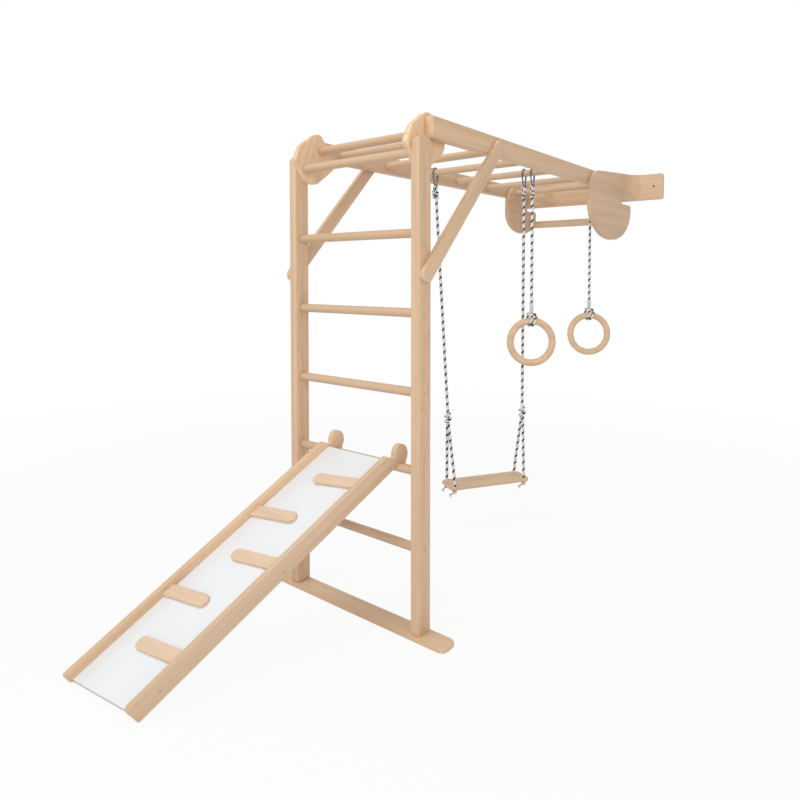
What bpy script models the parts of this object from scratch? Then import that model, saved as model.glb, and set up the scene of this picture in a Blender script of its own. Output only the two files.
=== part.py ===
"""Indoor wooden climbing frame: ladder, overhead rungs, slide, swing and rings.

Metres, +Z up.  X runs along the rungs, +Y runs from the ladder to the wall.
The origin is on the floor, in the middle between the two posts.
"""
from math import atan, cos, pi, radians, sin, tan

import bmesh
import bpy
from mathutils import Matrix, Vector

# Shared sizes
GAP = 0.0003
HALF_WIDTH = 0.283
LUMBER = 0.036
OUTER_FACE = HALF_WIDTH + LUMBER
RUNG_RADIUS = 0.016
SOCKET_RADIUS = RUNG_RADIUS + GAP
SOCKET_DEPTH = 0.012
RUNG_SIDES = 32
EASE = 0.003
THIN_EASE = 0.002
SPARE = 0.01

# Ladder
FLOOR_RAIL_THICK = 0.015
FLOOR_RAIL_HALF_LENGTH = 0.429
FLOOR_RAIL_FRONT = -0.045
FLOOR_RAIL_BACK = 0.034
FLOOR_RAIL_CORNER = 0.030
POST_HALF_DEPTH = 0.033
POST_TOP = 1.7077
POST_SHOULDER = 1.694
POST_TOP_BACK = 0.018
POST_TOP_FRONT = -0.010
POST_CORNERS = (0.010, 0.020)
LADDER_RUNGS = (0.303, 0.570, 0.841, 1.113, 1.384)

# Overhead beams and their rungs
BEAM_FRONT = 0.045
BEAM_BOTTOM = 1.708
BEAM_TOP = 1.782
MONKEY_HEIGHT = 1.740
MONKEY_RUNGS = (0.222, 0.522, 0.805, 1.103, 1.412, 1.709)

# Cheek plates between ladder and beams
CHEEK_THICK = 0.022
CHEEK_OUTLINE = (
    (-0.053, 1.687, 0.030), (-0.027, 1.744, 0.060), (0.048, 1.798, 0.050),
    (0.082, 1.803, 0.030), (0.108, 1.773, 0.060), (0.172, 1.704, 0.020),
    (0.154, 1.671, 0.040), (0.060, 1.602, 0.030), (0.006, 1.602, 0.030),
    (-0.045, 1.672, 0.030),
)
FRONT_RUNG = (-0.004, 1.655)
SHOULDER_RUNG = (0.081, 1.736)

# Braces on the outer faces
BRACE_THICK = 0.020
BRACE_WIDTH = 0.054
BRACE_LOW = (-0.005, 1.2445)
BRACE_HIGH = (0.470, 1.740)

# Wall rail, hook plates and the low bar; a hook plate is its front, back, bottom and slot
WALL = 1.990
RAIL_FRONT = 1.862
RAIL_THIN = 0.026
RAIL_BOTTOM = 1.669
RAIL_TOP = 1.812
RAIL_ENDS = (-0.460, 0.516)
RAIL_CORNER = 0.016
RAIL_COVE_ENDS = (-0.400, 0.440)
RAIL_INNER_CURVE = (0.232, 0.100)
PLATE_THICK = 0.024
PLATE_TOP_CORNER = 0.120
PLATE_LOW_CENTRE = 1.611
PLATE_LOBE_TOP = 1.640
PLATE_LOBE_CORNER = 0.015
PLATE_SLOT_TOP = 1.667
LEFT_PLATE = (1.615, 1.975, 1.500, 1.855)
RIGHT_PLATE = (1.370, 1.957, 1.434, 1.815)
LOW_BAR = (1.905, 1.557)
LOW_BAR_RADIUS = 0.021

# Slide with cleats, hooked over the second ladder rung
SLIDE_RUNG = 0.570
SLIDE_SLOPE = 0.713
SLIDE_SKEW = 0.33
SLIDE_RAIL_TOP = 0.6537
SLIDE_RAIL_DROP = 0.0680
SLIDE_RAIL_THICK = 0.0205
SLIDE_LEFT = -0.115
SLIDE_RIGHT = 0.215
SLIDE_TOES = (-0.866, -0.826)
SLIDE_HEAD = (0.003, 0.616)
SLIDE_HEAD_RADII = (0.025, 0.036)
SLIDE_NOTCH_RADIUS = 0.0165
SLIDE_NOTCH_ARC = (165.0, 30.0)
SLIDE_HEAD_ARC = (-40.0, 192.0)
SLIDE_HOOK_TIP = (0.0205, 0.5795)
SLIDE_NECK = ((-0.0290, 0.6045), (-0.0390, 0.6085), (-0.0505, 0.6143))
SLIDE_SHOULDER = -0.0530
TOE_CORNERS = (0.020, 0.010)
BOARD_BELOW_RAIL = 0.0306
BOARD_THICK = 0.008
BOARD_LOW = -1.060
BOARD_LOW_TURN = 0.10
BOARD_HIGH = -0.043
CLEAT_COUNT = 5
CLEAT_FIRST = -0.718
CLEAT_LAST = -0.153
CLEAT_WIDTH = 0.042
CLEAT_THICK = 0.012
CLEAT_RIGHT_END = -0.004
CLEAT_LEFT_END = 0.090
CLEAT_TURN = 0.12
CLEAT_MIDDLE = 0.015

# Snap hooks
HOOK_WIRE = 0.0035
HOOK_TOP_RADIUS = 0.0215
HOOK_LOW_RADIUS = 0.0105
HOOK_LOW_CENTRE = 1.690
HOOK_STEPS = 9

# Ropes
ROPE_RADIUS = 0.006
ROPE_STEP = 0.030
ROPE_GAP = 0.001

# Swing
SWING_LEFT = (-0.212, 0.805)
SWING_RIGHT = (0.109, 1.103)
SWING_PIVOT = (-0.0515, 0.954)
SEAT_CENTRE = (-0.0249, 0.9752)
SEAT_TURN = radians(58.7)
SEAT_LENGTH = 0.431
SEAT_WIDTH = 0.130
SEAT_THICK = 0.016
SEAT_BOTTOM = 0.214
SEAT_CORNER = 0.030
SEAT_HOLES = (0.189, 0.047)
SEAT_HOLE_RADIUS = 0.0066
SWING_KNOT_REACH = 0.206
SWING_KNOT_HEIGHT = 0.551
SWING_KNOT_SIZE = (0.013, 0.020)
LEG_SPREAD = 0.0066
LEG_BEND = 0.060
LEG_BELOW_SEAT = 0.002
LEG_BELOW_KNOT = 0.0018
SEAT_KNOT_SIZE = (0.0115, 0.009)

# Rings
RING_MAJOR = 0.103
RING_MINOR = 0.017
RING_HEIGHT = 0.915
RING_TURN = radians(38.67)
RING_LEFT = (0.154, 1.103)
RING_RIGHT = (0.202, 1.709)
LASHING_HALF_ANGLE = radians(13.0)
LASHING_RADIUS = 0.029
LASHING_GAP = 0.0006
SLEEVE_GAP = 0.0005
SLEEVE_RADIUS = 0.0095
SLEEVE_BOTTOM = 1.061
SLEEVE_TOP = 1.108
RING_SEGMENTS = 44
RING_SIDES = 14

# Colours
BIRCH = (0.80, 0.58, 0.38, 1.0)
WHITE_BOARD = (0.86, 0.86, 0.88, 1.0)
ROPE_WHITE = (0.78, 0.77, 0.74, 1.0)
STEEL = (0.45, 0.46, 0.48, 1.0)
CLEAR_SLEEVE = (0.82, 0.82, 0.86, 1.0)


def clear_scene():
    for item in list(bpy.data.objects):
        bpy.data.objects.remove(item, do_unlink=True)


def make_collection(name):
    collection = bpy.data.collections.new(name)
    bpy.context.scene.collection.children.link(collection)
    return collection


clear_scene()
PARTS = make_collection("climbing_frame")
CUTTERS = make_collection("cutters")


def paint(item, colour, metallic=0.0, roughness=0.5):
    material = bpy.data.materials.new(item.name)
    material.use_nodes = True
    shader = material.node_tree.nodes["Principled BSDF"]
    shader.inputs["Base Color"].default_value = colour
    shader.inputs["Metallic"].default_value = metallic
    shader.inputs["Roughness"].default_value = roughness
    item.data.materials.append(material)
    return item


def mesh_object(name, work, collection):
    bmesh.ops.recalc_face_normals(work, faces=work.faces)
    mesh = bpy.data.meshes.new(name)
    work.to_mesh(mesh)
    work.free()
    item = bpy.data.objects.new(name, mesh)
    collection.objects.link(item)
    if collection is CUTTERS:
        item.hide_render = True
        item.display_type = "WIRE"
    return item


def loft(name, loops, collection):
    """Close a stack of equal vertex loops into one solid."""
    work = bmesh.new()
    rings = [[work.verts.new(point) for point in loop] for loop in loops]
    count = len(rings[0])
    for low, high in zip(rings, rings[1:]):
        for index in range(count):
            after = (index + 1) % count
            work.faces.new((low[index], low[after], high[after], high[index]))
    work.faces.new(list(reversed(rings[0])))
    work.faces.new(rings[-1])
    return mesh_object(name, work, collection)


def prism_x(name, outline, x_low, x_high, collection=PARTS, skew=0.0):
    low = [(x_low + skew * y, y, z) for y, z in outline]
    high = [(x_high + skew * y, y, z) for y, z in outline]
    return loft(name, (low, high), collection)


def prism_y(name, outline, y_low, y_high, collection=PARTS):
    low = [(x, y_low, z) for x, z in outline]
    high = [(x, y_high, z) for x, z in outline]
    return loft(name, (low, high), collection)


def prism_z(name, outline, z_low, z_high, collection=PARTS):
    low = [(x, y, z_low) for x, y in outline]
    high = [(x, y, z_high) for x, y in outline]
    return loft(name, (low, high), collection)


def arc(centre, radius, start, end, steps):
    """Points on an arc, angles in degrees, a radius or a pair of radii."""
    wide, tall = radius if isinstance(radius, tuple) else (radius, radius)
    points = []
    for index in range(steps + 1):
        angle = radians(start + (end - start) * index / steps)
        points.append((centre[0] + wide * cos(angle), centre[1] + tall * sin(angle)))
    return points


def rounded(corners, steps=4):
    """Round each corner (a, b, radius) of a closed outline."""
    outline = []
    count = len(corners)
    for index, (a, b, radius) in enumerate(corners):
        if radius == 0.0:
            outline.append((a, b))
            continue
        here = Vector((a, b))
        before = (Vector(corners[index - 1][:2]) - here)
        after = (Vector(corners[(index + 1) % count][:2]) - here)
        half = before.angle(after) / 2.0
        reach = min(radius / tan(half), 0.45 * before.length, 0.45 * after.length)
        first = here + before.normalized() * reach
        last = here + after.normalized() * reach
        for step in range(steps + 1):
            t = step / steps
            point = first * (1 - t) ** 2 + here * 2 * t * (1 - t) + last * t ** 2
            outline.append((point.x, point.y))
    return outline


def ease_edges(item, width=EASE):
    bevel = item.modifiers.new("eased edges", "BEVEL")
    bevel.width = width
    bevel.segments = 1
    bevel.limit_method = "ANGLE"
    bevel.angle_limit = radians(50.0)
    return item


def cut(item, cutter, operation="DIFFERENCE"):
    boolean = item.modifiers.new(cutter.name, "BOOLEAN")
    boolean.operation = operation
    boolean.solver = "EXACT"
    boolean.object = cutter
    return item


def rod_x(name, y, z, x_low, x_high, radius=RUNG_RADIUS, collection=PARTS):
    outline = arc((y, z), radius, 0.0, 360.0 - 360.0 / RUNG_SIDES, RUNG_SIDES - 1)
    return prism_x(name, outline, x_low, x_high, collection)


def rods_x(name, centres, reach, radius):
    """One cutter made of parallel rods that do not touch."""
    work = bmesh.new()
    for y, z in centres:
        for_round = arc((y, z), radius, 0.0, 360.0 - 360.0 / RUNG_SIDES, RUNG_SIDES - 1)
        low = [work.verts.new((-reach, a, b)) for a, b in for_round]
        high = [work.verts.new((reach, a, b)) for a, b in for_round]
        for index in range(RUNG_SIDES):
            after = (index + 1) % RUNG_SIDES
            work.faces.new((low[index], low[after], high[after], high[index]))
        work.faces.new(list(reversed(low)))
        work.faces.new(high)
    return mesh_object(name, work, CUTTERS)


def wood(item):
    return paint(item, BIRCH, roughness=0.55)


def pivot(name, location):
    empty = bpy.data.objects.new(name, None)
    empty.location = location
    PARTS.objects.link(empty)
    return empty


def hang(item, parent):
    item.parent = parent
    item.matrix_parent_inverse = Matrix.Translation(parent.location).inverted()
    return item


# Ladder
ladder_sockets = rods_x("ladder_sockets", [(0.0, z) for z in LADDER_RUNGS],
                        HALF_WIDTH + SOCKET_DEPTH, SOCKET_RADIUS)

floor_outline = rounded((
    (-FLOOR_RAIL_HALF_LENGTH, FLOOR_RAIL_FRONT, FLOOR_RAIL_CORNER),
    (FLOOR_RAIL_HALF_LENGTH, FLOOR_RAIL_FRONT, FLOOR_RAIL_CORNER),
    (FLOOR_RAIL_HALF_LENGTH, FLOOR_RAIL_BACK, FLOOR_RAIL_CORNER),
    (-FLOOR_RAIL_HALF_LENGTH, FLOOR_RAIL_BACK, FLOOR_RAIL_CORNER),
), 5)
wood(prism_z("floor_rail", floor_outline, 0.0, FLOOR_RAIL_THICK))

post_foot = FLOOR_RAIL_THICK + GAP
post_outline = rounded((
    (-POST_HALF_DEPTH, post_foot, 0.0), (POST_HALF_DEPTH, post_foot, 0.0),
    (POST_HALF_DEPTH, POST_SHOULDER, POST_CORNERS[0]), (POST_TOP_BACK, POST_TOP, POST_CORNERS[1]),
    (POST_TOP_FRONT, POST_TOP, POST_CORNERS[1]), (-POST_HALF_DEPTH, POST_SHOULDER, POST_CORNERS[0]),
), 2)
for side, low, high in (("left", -OUTER_FACE, -HALF_WIDTH), ("right", HALF_WIDTH, OUTER_FACE)):
    post = prism_x(side + "_post", post_outline, low, high)
    wood(cut(ease_edges(post), ladder_sockets))

rung_end = HALF_WIDTH + SOCKET_DEPTH - GAP
for index, height in enumerate(LADDER_RUNGS, 1):
    wood(rod_x("ladder_rung_%d" % index, 0.0, height, -rung_end, rung_end))

# Cheek plates with the front rung and the shoulder rung
cheek_inner = HALF_WIDTH - GAP - CHEEK_THICK
cheek_sockets = rods_x("cheek_sockets", (FRONT_RUNG, SHOULDER_RUNG),
                       cheek_inner + SOCKET_DEPTH, SOCKET_RADIUS)
cheek_outline = rounded(CHEEK_OUTLINE, 3)
for side, sign in (("left", -1.0), ("right", 1.0)):
    ends = sorted((sign * cheek_inner, sign * (HALF_WIDTH - GAP)))
    cheek = prism_x(side + "_cheek_plate", cheek_outline, ends[0], ends[1])
    wood(cut(ease_edges(cheek, THIN_EASE), cheek_sockets))
cheek_rung_end = cheek_inner + SOCKET_DEPTH - GAP
wood(rod_x("front_top_rung", FRONT_RUNG[0], FRONT_RUNG[1], -cheek_rung_end, cheek_rung_end))
wood(rod_x("shoulder_rung", SHOULDER_RUNG[0], SHOULDER_RUNG[1], -cheek_rung_end, cheek_rung_end))

# Beams and overhead rungs
monkey_sockets = rods_x("monkey_sockets", [(y, MONKEY_HEIGHT) for y in MONKEY_RUNGS],
                        HALF_WIDTH + SOCKET_DEPTH, SOCKET_RADIUS)
beam_back = RAIL_FRONT - GAP
beam_outline = ((BEAM_FRONT, BEAM_BOTTOM), (beam_back, BEAM_BOTTOM),
                (beam_back, BEAM_TOP), (BEAM_FRONT, BEAM_TOP))
for side, low, high in (("left", -OUTER_FACE, -HALF_WIDTH), ("right", HALF_WIDTH, OUTER_FACE)):
    beam = prism_x(side + "_beam", beam_outline, low, high)
    wood(cut(ease_edges(beam), monkey_sockets))
for index, depth in enumerate(MONKEY_RUNGS, 1):
    wood(rod_x("monkey_rung_%d" % index, depth, MONKEY_HEIGHT, -rung_end, rung_end))

# Braces
run = Vector(BRACE_HIGH) - Vector(BRACE_LOW)
lean = atan(run.y / run.x) * 180.0 / pi
brace_outline = (arc(BRACE_HIGH, BRACE_WIDTH / 2.0, lean - 90.0, lean + 90.0, 10)
                 + arc(BRACE_LOW, BRACE_WIDTH / 2.0, lean + 90.0, lean + 270.0, 10))
brace_near = OUTER_FACE + GAP
brace_far = brace_near + BRACE_THICK
for side, low, high in (("left", -brace_far, -brace_near), ("right", brace_near, brace_far)):
    wood(ease_edges(prism_x(side + "_brace", brace_outline, low, high), THIN_EASE))

# Wall rail: thick behind the beam ends, thin between them and at both ends


def s_curve(x_start, y_start, x_end, y_end, steps=8):
    points = []
    for index in range(steps + 1):
        t = index / steps
        swing = t * t * (3.0 - 2.0 * t)
        points.append((x_start + (x_end - x_start) * t, y_start + (y_end - y_start) * swing))
    return points


rail_thin_front = WALL - RAIL_THIN
plate_outer = OUTER_FACE + GAP + PLATE_THICK


def rail_cove(start, end):
    """Quarter cove from the flush side of the thick block to the thin end."""
    return arc((end, RAIL_FRONT), (start - end, rail_thin_front - RAIL_FRONT), 0.0, 90.0, 9)


inner_curve = s_curve(RAIL_INNER_CURVE[1], rail_thin_front, RAIL_INNER_CURVE[0], RAIL_FRONT)
rail_left, rail_right = RAIL_ENDS
rail_outline = (
    [(rail_left, rail_thin_front)] + rail_cove(-OUTER_FACE, RAIL_COVE_ENDS[0])[::-1]
    + [(-x, y) for x, y in reversed(inner_curve)] + inner_curve
    + rail_cove(plate_outer, RAIL_COVE_ENDS[1])
    + [(rail_right, rail_thin_front), (rail_right, WALL), (rail_left, WALL)]
)
rail_trim = prism_y("wall_rail_trim", rounded((
    (rail_left, RAIL_BOTTOM, RAIL_CORNER), (rail_right, RAIL_BOTTOM, RAIL_CORNER),
    (rail_right, RAIL_TOP, RAIL_CORNER), (rail_left, RAIL_TOP, RAIL_CORNER),
)), RAIL_FRONT - SPARE, WALL + SPARE, CUTTERS)
wall_rail = prism_z("wall_rail", rail_outline, RAIL_BOTTOM - SPARE, RAIL_TOP + SPARE)
wood(cut(wall_rail, rail_trim, "INTERSECT"))

# Hook plates and the low bar between them
def plate_outline(front, back, bottom, slot):
    return (
        [(slot, PLATE_LOBE_TOP), (slot, PLATE_SLOT_TOP), (beam_back, PLATE_SLOT_TOP),
         (beam_back, RAIL_TOP)]
        + arc((front + PLATE_TOP_CORNER, BEAM_TOP - PLATE_TOP_CORNER),
              PLATE_TOP_CORNER, 90.0, 180.0, 9)
        + arc(((front + back) / 2.0, PLATE_LOW_CENTRE),
              ((back - front) / 2.0, PLATE_LOW_CENTRE - bottom), 180.0, 360.0, 22)
        + arc((back - PLATE_LOBE_CORNER, PLATE_LOBE_TOP - PLATE_LOBE_CORNER),
              PLATE_LOBE_CORNER, 0.0, 90.0, 4)
    )


bar_low = -(HALF_WIDTH - GAP - PLATE_THICK + SOCKET_DEPTH)
bar_high = OUTER_FACE + GAP + SOCKET_DEPTH
bar_socket = rod_x("bar_sockets", LOW_BAR[0], LOW_BAR[1], bar_low, bar_high,
                   LOW_BAR_RADIUS + GAP, CUTTERS)
left_plate = prism_x("left_hook_plate", plate_outline(*LEFT_PLATE),
                     -(HALF_WIDTH - GAP), -(HALF_WIDTH - GAP - PLATE_THICK))
wood(cut(cut(left_plate, bar_socket), monkey_sockets))
right_plate = prism_x("right_hook_plate", plate_outline(*RIGHT_PLATE),
                      OUTER_FACE + GAP, plate_outer)
wood(cut(right_plate, bar_socket))
wood(rod_x("pull_up_bar", LOW_BAR[0], LOW_BAR[1], bar_low + GAP, bar_high - GAP, LOW_BAR_RADIUS))

# Slide
slide_pivot = pivot("slide_pivot", (0.0, 0.0, SLIDE_RUNG))
slope_angle = atan(SLIDE_SLOPE)


def rail_top(y):
    return SLIDE_RAIL_TOP + SLIDE_SLOPE * y


def slide_rail_outline(toe):
    """Side of a rail whose front end stands at a given distance."""
    toe_rise = rail_top(toe) / (cos(slope_angle) + SLIDE_SLOPE * sin(slope_angle))
    toe_top = (toe - sin(slope_angle) * toe_rise, cos(slope_angle) * toe_rise)
    floor_touch = -(SLIDE_RAIL_TOP - SLIDE_RAIL_DROP) / SLIDE_SLOPE
    notch = arc((0.0, SLIDE_RUNG), SLIDE_NOTCH_RADIUS, *SLIDE_NOTCH_ARC, 10)
    head = arc(SLIDE_HEAD, SLIDE_HEAD_RADII, *SLIDE_HEAD_ARC, 20)
    neck = list(SLIDE_NECK) + [(SLIDE_SHOULDER, rail_top(SLIDE_SHOULDER))]
    return rounded(
        [(toe_top[0], toe_top[1], TOE_CORNERS[0]), (toe, 0.0, TOE_CORNERS[1]),
         (floor_touch, 0.0, 0.0)]
        + [(y, z, 0.0) for y, z in notch + [SLIDE_HOOK_TIP] + head + neck])


slide_inner_left = SLIDE_LEFT + SLIDE_RAIL_THICK
slide_inner_right = SLIDE_RIGHT - SLIDE_RAIL_THICK
for name, low, high, toe in (
        ("slide_left_rail", SLIDE_LEFT, slide_inner_left, SLIDE_TOES[0]),
        ("slide_right_rail", slide_inner_right, SLIDE_RIGHT, SLIDE_TOES[1])):
    rail = prism_x(name, slide_rail_outline(toe), low, high, PARTS, SLIDE_SKEW)
    wood(hang(rail, slide_pivot))

board_surface = SLIDE_RAIL_TOP - BOARD_BELOW_RAIL


def on_slope(along, height):
    """Y and Z of a point above the board's top face."""
    return (along * cos(slope_angle) - height * sin(slope_angle),
            board_surface + along * sin(slope_angle) + height * cos(slope_angle))


board_sides = []
for x, low_end in (
        (slide_inner_left + GAP, BOARD_LOW),
        (slide_inner_right - GAP,
         BOARD_LOW + BOARD_LOW_TURN * (slide_inner_right - slide_inner_left))):
    corners = [on_slope(low_end, -BOARD_THICK), on_slope(BOARD_HIGH, -BOARD_THICK),
               on_slope(BOARD_HIGH, 0.0), on_slope(low_end, 0.0)]
    board_sides.append([(x + SLIDE_SKEW * y, y, z) for y, z in corners])
board = loft("slide_board", board_sides, PARTS)
paint(hang(board, slide_pivot), WHITE_BOARD, roughness=0.3)


def cleat(name, y_centre, from_right):
    """A batten across the board, a little turned, with one round end."""
    along = y_centre / cos(slope_angle)
    half = CLEAT_WIDTH / 2.0
    root = slide_inner_right - GAP if from_right else slide_inner_left + GAP
    end = CLEAT_RIGHT_END if from_right else CLEAT_LEFT_END
    toward = 1.0 if from_right else -1.0
    tip = end + SLIDE_SKEW * y_centre
    middle = CLEAT_MIDDLE + SLIDE_SKEW * y_centre
    square = 1.0 - SLIDE_SKEW * cos(slope_angle) * CLEAT_TURN
    loops = []
    for height in (GAP, GAP + CLEAT_THICK):
        loop = []
        for offset in (-half, half):
            y_plain = on_slope(along + offset - CLEAT_TURN * middle, height)[0]
            x = (root + SLIDE_SKEW * y_plain) / square
            y, z = on_slope(along + offset + CLEAT_TURN * (x - middle), height)
            loop.append((x, y, z))
        for step in range(9):
            angle = pi / 2.0 - pi * step / 8.0
            x = tip + toward * half * (1.0 - cos(angle))
            y, z = on_slope(along + half * sin(angle) + CLEAT_TURN * (x - middle), height)
            loop.append((x, y, z))
        loops.append(loop)
    return wood(hang(loft(name, loops, PARTS), slide_pivot))


for index in range(CLEAT_COUNT):
    place = CLEAT_FIRST + (CLEAT_LAST - CLEAT_FIRST) * index / (CLEAT_COUNT - 1)
    cleat("slide_cleat_%d" % (index + 1), place, index % 2 == 0)


def tube(name, points, radius, parent, sides=2, closed=False):
    """A round cord or wire along a row of points."""
    curve = bpy.data.curves.new(name, "CURVE")
    curve.dimensions = "3D"
    curve.bevel_depth = radius
    curve.bevel_resolution = sides
    curve.use_fill_caps = not closed
    spline = curve.splines.new("POLY")
    spline.points.add(len(points) - 1)
    for slot, point in zip(spline.points, points):
        slot.co = (point[0], point[1], point[2], 1.0)
    spline.use_cyclic_u = closed
    item = bpy.data.objects.new(name, curve)
    PARTS.objects.link(item)
    return hang(item, parent)


def route(start, start_way, end, end_way, step=ROPE_STEP):
    """Points on one smooth curve, with its way and pull at each end."""
    count = max(2, round((end - start).length / step))
    points = []
    for index in range(count + 1):
        t = index / count
        points.append(start * (1.0 + 2.0 * t) * (1.0 - t) ** 2 + end * t * t * (3.0 - 2.0 * t)
                      + start_way * t * (1.0 - t) ** 2 + end_way * t * t * (t - 1.0))
    return points


def taut(start, end):
    start = Vector(start)
    end = Vector(end)
    return route(start, end - start, end, end - start)


def snap_hook(name, place, parent):
    """A closed steel link around a rung, standing square to it."""
    x, y = place
    drop = MONKEY_HEIGHT - HOOK_LOW_CENTRE
    flank = 180.0 / pi * atan((HOOK_TOP_RADIUS - HOOK_LOW_RADIUS) / drop)
    path = arc((y, MONKEY_HEIGHT), HOOK_TOP_RADIUS, -flank, 180.0 + flank, HOOK_STEPS + 3)
    path += arc((y, HOOK_LOW_CENTRE), HOOK_LOW_RADIUS, 180.0 + flank, 360.0 - flank, HOOK_STEPS - 2)
    link = tube(name, [(x, a, b) for a, b in path], HOOK_WIRE, parent, 1, True)
    return paint(link, STEEL, 0.9, 0.3)


def ball(name, centre, wide, tall, parent):
    """A knot as a plain rounded lump."""
    rings = 7
    sides = 12
    work = bmesh.new()
    top = work.verts.new((centre[0], centre[1], centre[2] + tall))
    low = work.verts.new((centre[0], centre[1], centre[2] - tall))
    rows = []
    for ring in range(1, rings):
        lift = pi * ring / rings
        row = []
        for side in range(sides):
            turn = 2.0 * pi * side / sides
            row.append(work.verts.new((centre[0] + wide * sin(lift) * cos(turn),
                                       centre[1] + wide * sin(lift) * sin(turn),
                                       centre[2] + tall * cos(lift))))
        rows.append(row)
    for side in range(sides):
        after = (side + 1) % sides
        work.faces.new((top, rows[0][side], rows[0][after]))
        work.faces.new((low, rows[-1][after], rows[-1][side]))
        for upper, lower in zip(rows, rows[1:]):
            work.faces.new((upper[side], lower[side], lower[after], upper[after]))
    return paint(hang(mesh_object(name, work, PARTS), parent), ROPE_WHITE, roughness=0.9)


# Swing
swing_pivot = pivot("swing_pivot", (SWING_PIVOT[0], SWING_PIVOT[1], MONKEY_HEIGHT))
along_seat = Vector((cos(SEAT_TURN), sin(SEAT_TURN), 0.0))
across_seat = Vector((-sin(SEAT_TURN), cos(SEAT_TURN), 0.0))
seat_middle = Vector((SEAT_CENTRE[0], SEAT_CENTRE[1], 0.0))
seat_top = SEAT_BOTTOM + SEAT_THICK


def on_seat(along, across, height):
    return seat_middle + along_seat * along + across_seat * across + Vector((0.0, 0.0, height))


seat_outline = [on_seat(a, b, 0.0) for a, b in rounded((
    (-SEAT_LENGTH / 2.0, -SEAT_WIDTH / 2.0, SEAT_CORNER),
    (SEAT_LENGTH / 2.0, -SEAT_WIDTH / 2.0, SEAT_CORNER),
    (SEAT_LENGTH / 2.0, SEAT_WIDTH / 2.0, SEAT_CORNER),
    (-SEAT_LENGTH / 2.0, SEAT_WIDTH / 2.0, SEAT_CORNER)), 5)]
seat = prism_z("swing_seat", [(p.x, p.y) for p in seat_outline], SEAT_BOTTOM, seat_top)
ease_edges(seat, THIN_EASE)
for end in (-1.0, 1.0):
    for edge in (-1.0, 1.0):
        spot = on_seat(end * SEAT_HOLES[0], edge * SEAT_HOLES[1], 0.0)
        bore = prism_z("seat_hole", arc((spot.x, spot.y), SEAT_HOLE_RADIUS, 0.0, 345.0, 23),
                       SEAT_BOTTOM - SPARE, seat_top + SPARE, CUTTERS)
        cut(seat, bore)
wood(hang(seat, swing_pivot))

hook_bottom = HOOK_LOW_CENTRE - HOOK_LOW_RADIUS - HOOK_WIRE
knot_wide, knot_tall = SWING_KNOT_SIZE
for side, end, place in (("left", -1.0, SWING_LEFT), ("right", 1.0, SWING_RIGHT)):
    snap_hook("swing_hook_" + side, place, swing_pivot)
    knot = on_seat(end * SWING_KNOT_REACH, 0.0, SWING_KNOT_HEIGHT)
    rope_top = (place[0], place[1], hook_bottom - ROPE_GAP)
    rope_low = knot + Vector((0.0, 0.0, knot_tall + ROPE_GAP))
    rope = tube("swing_rope_" + side, taut(rope_top, rope_low), ROPE_RADIUS, swing_pivot)
    paint(rope, ROPE_WHITE, roughness=0.9)
    ball("swing_knot_" + side, knot, knot_wide, knot_tall, swing_pivot)
    for edge, label in ((-1.0, "front"), (1.0, "back")):
        hole = on_seat(end * SEAT_HOLES[0], edge * SEAT_HOLES[1], seat_top)
        start = knot + across_seat * edge * LEG_SPREAD
        start.z -= knot_tall + LEG_BELOW_KNOT
        leg = route(start, hole - start, hole, Vector((0.0, 0.0, -LEG_BEND)))
        leg.append(hole - Vector((0.0, 0.0, SEAT_THICK + LEG_BELOW_SEAT)))
        cord = tube("swing_leg_%s_%s" % (side, label), leg, ROPE_RADIUS, swing_pivot)
        paint(cord, ROPE_WHITE, roughness=0.9)
        stop = leg[-1] - Vector((0.0, 0.0, SEAT_KNOT_SIZE[1] + GAP))
        ball("seat_knot_%s_%s" % (side, label), stop, SEAT_KNOT_SIZE[0], SEAT_KNOT_SIZE[1],
             swing_pivot)


def torus_piece(name, centre, inner, outer, half_angle, parent):
    """A ring, or a short bent sleeve around the top of a ring."""
    work = bmesh.new()
    whole = half_angle is None
    steps = RING_SEGMENTS if whole else 6
    shells = [outer] if whole else [outer, inner]
    facing = Vector((sin(RING_TURN), -cos(RING_TURN), 0.0))
    level = Vector((cos(RING_TURN), sin(RING_TURN), 0.0))
    grids = []
    for radius in shells:
        grid = []
        for index in range(steps if whole else steps + 1):
            turn = 2.0 * pi * index / steps if whole else half_angle * (2.0 * index / steps - 1.0)
            spoke = level * sin(turn) + Vector((0.0, 0.0, cos(turn)))
            row = []
            for side in range(RING_SIDES):
                roll = 2.0 * pi * side / RING_SIDES
                point = centre + spoke * (RING_MAJOR + radius * cos(roll)) + facing * radius * sin(roll)
                row.append(work.verts.new(point))
            grid.append(row)
        grids.append(grid)
    for grid in grids:
        rows = grid + [grid[0]] if whole else grid
        for first, second in zip(rows, rows[1:]):
            for side in range(RING_SIDES):
                after = (side + 1) % RING_SIDES
                work.faces.new((first[side], first[after], second[after], second[side]))
    if not whole:
        for end in (0, -1):
            for side in range(RING_SIDES):
                after = (side + 1) % RING_SIDES
                big = grids[0][end]
                small = grids[1][end]
                work.faces.new((big[side], big[after], small[after], small[side]))
    return hang(mesh_object(name, work, PARTS), parent)


def pipe(name, place, z_low, z_high, inner, outer, parent):
    """A short tube with a round bore."""
    sides = 16
    loops = []
    for radius, height in ((outer, z_low), (outer, z_high), (inner, z_high), (inner, z_low)):
        loops.append([(place[0] + radius * cos(2.0 * pi * side / sides),
                       place[1] + radius * sin(2.0 * pi * side / sides), height)
                      for side in range(sides)])
    work = bmesh.new()
    rows = [[work.verts.new(point) for point in loop] for loop in loops]
    for first, second in zip(rows, rows[1:] + rows[:1]):
        for side in range(sides):
            after = (side + 1) % sides
            work.faces.new((first[side], first[after], second[after], second[side]))
    return hang(mesh_object(name, work, PARTS), parent)


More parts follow.
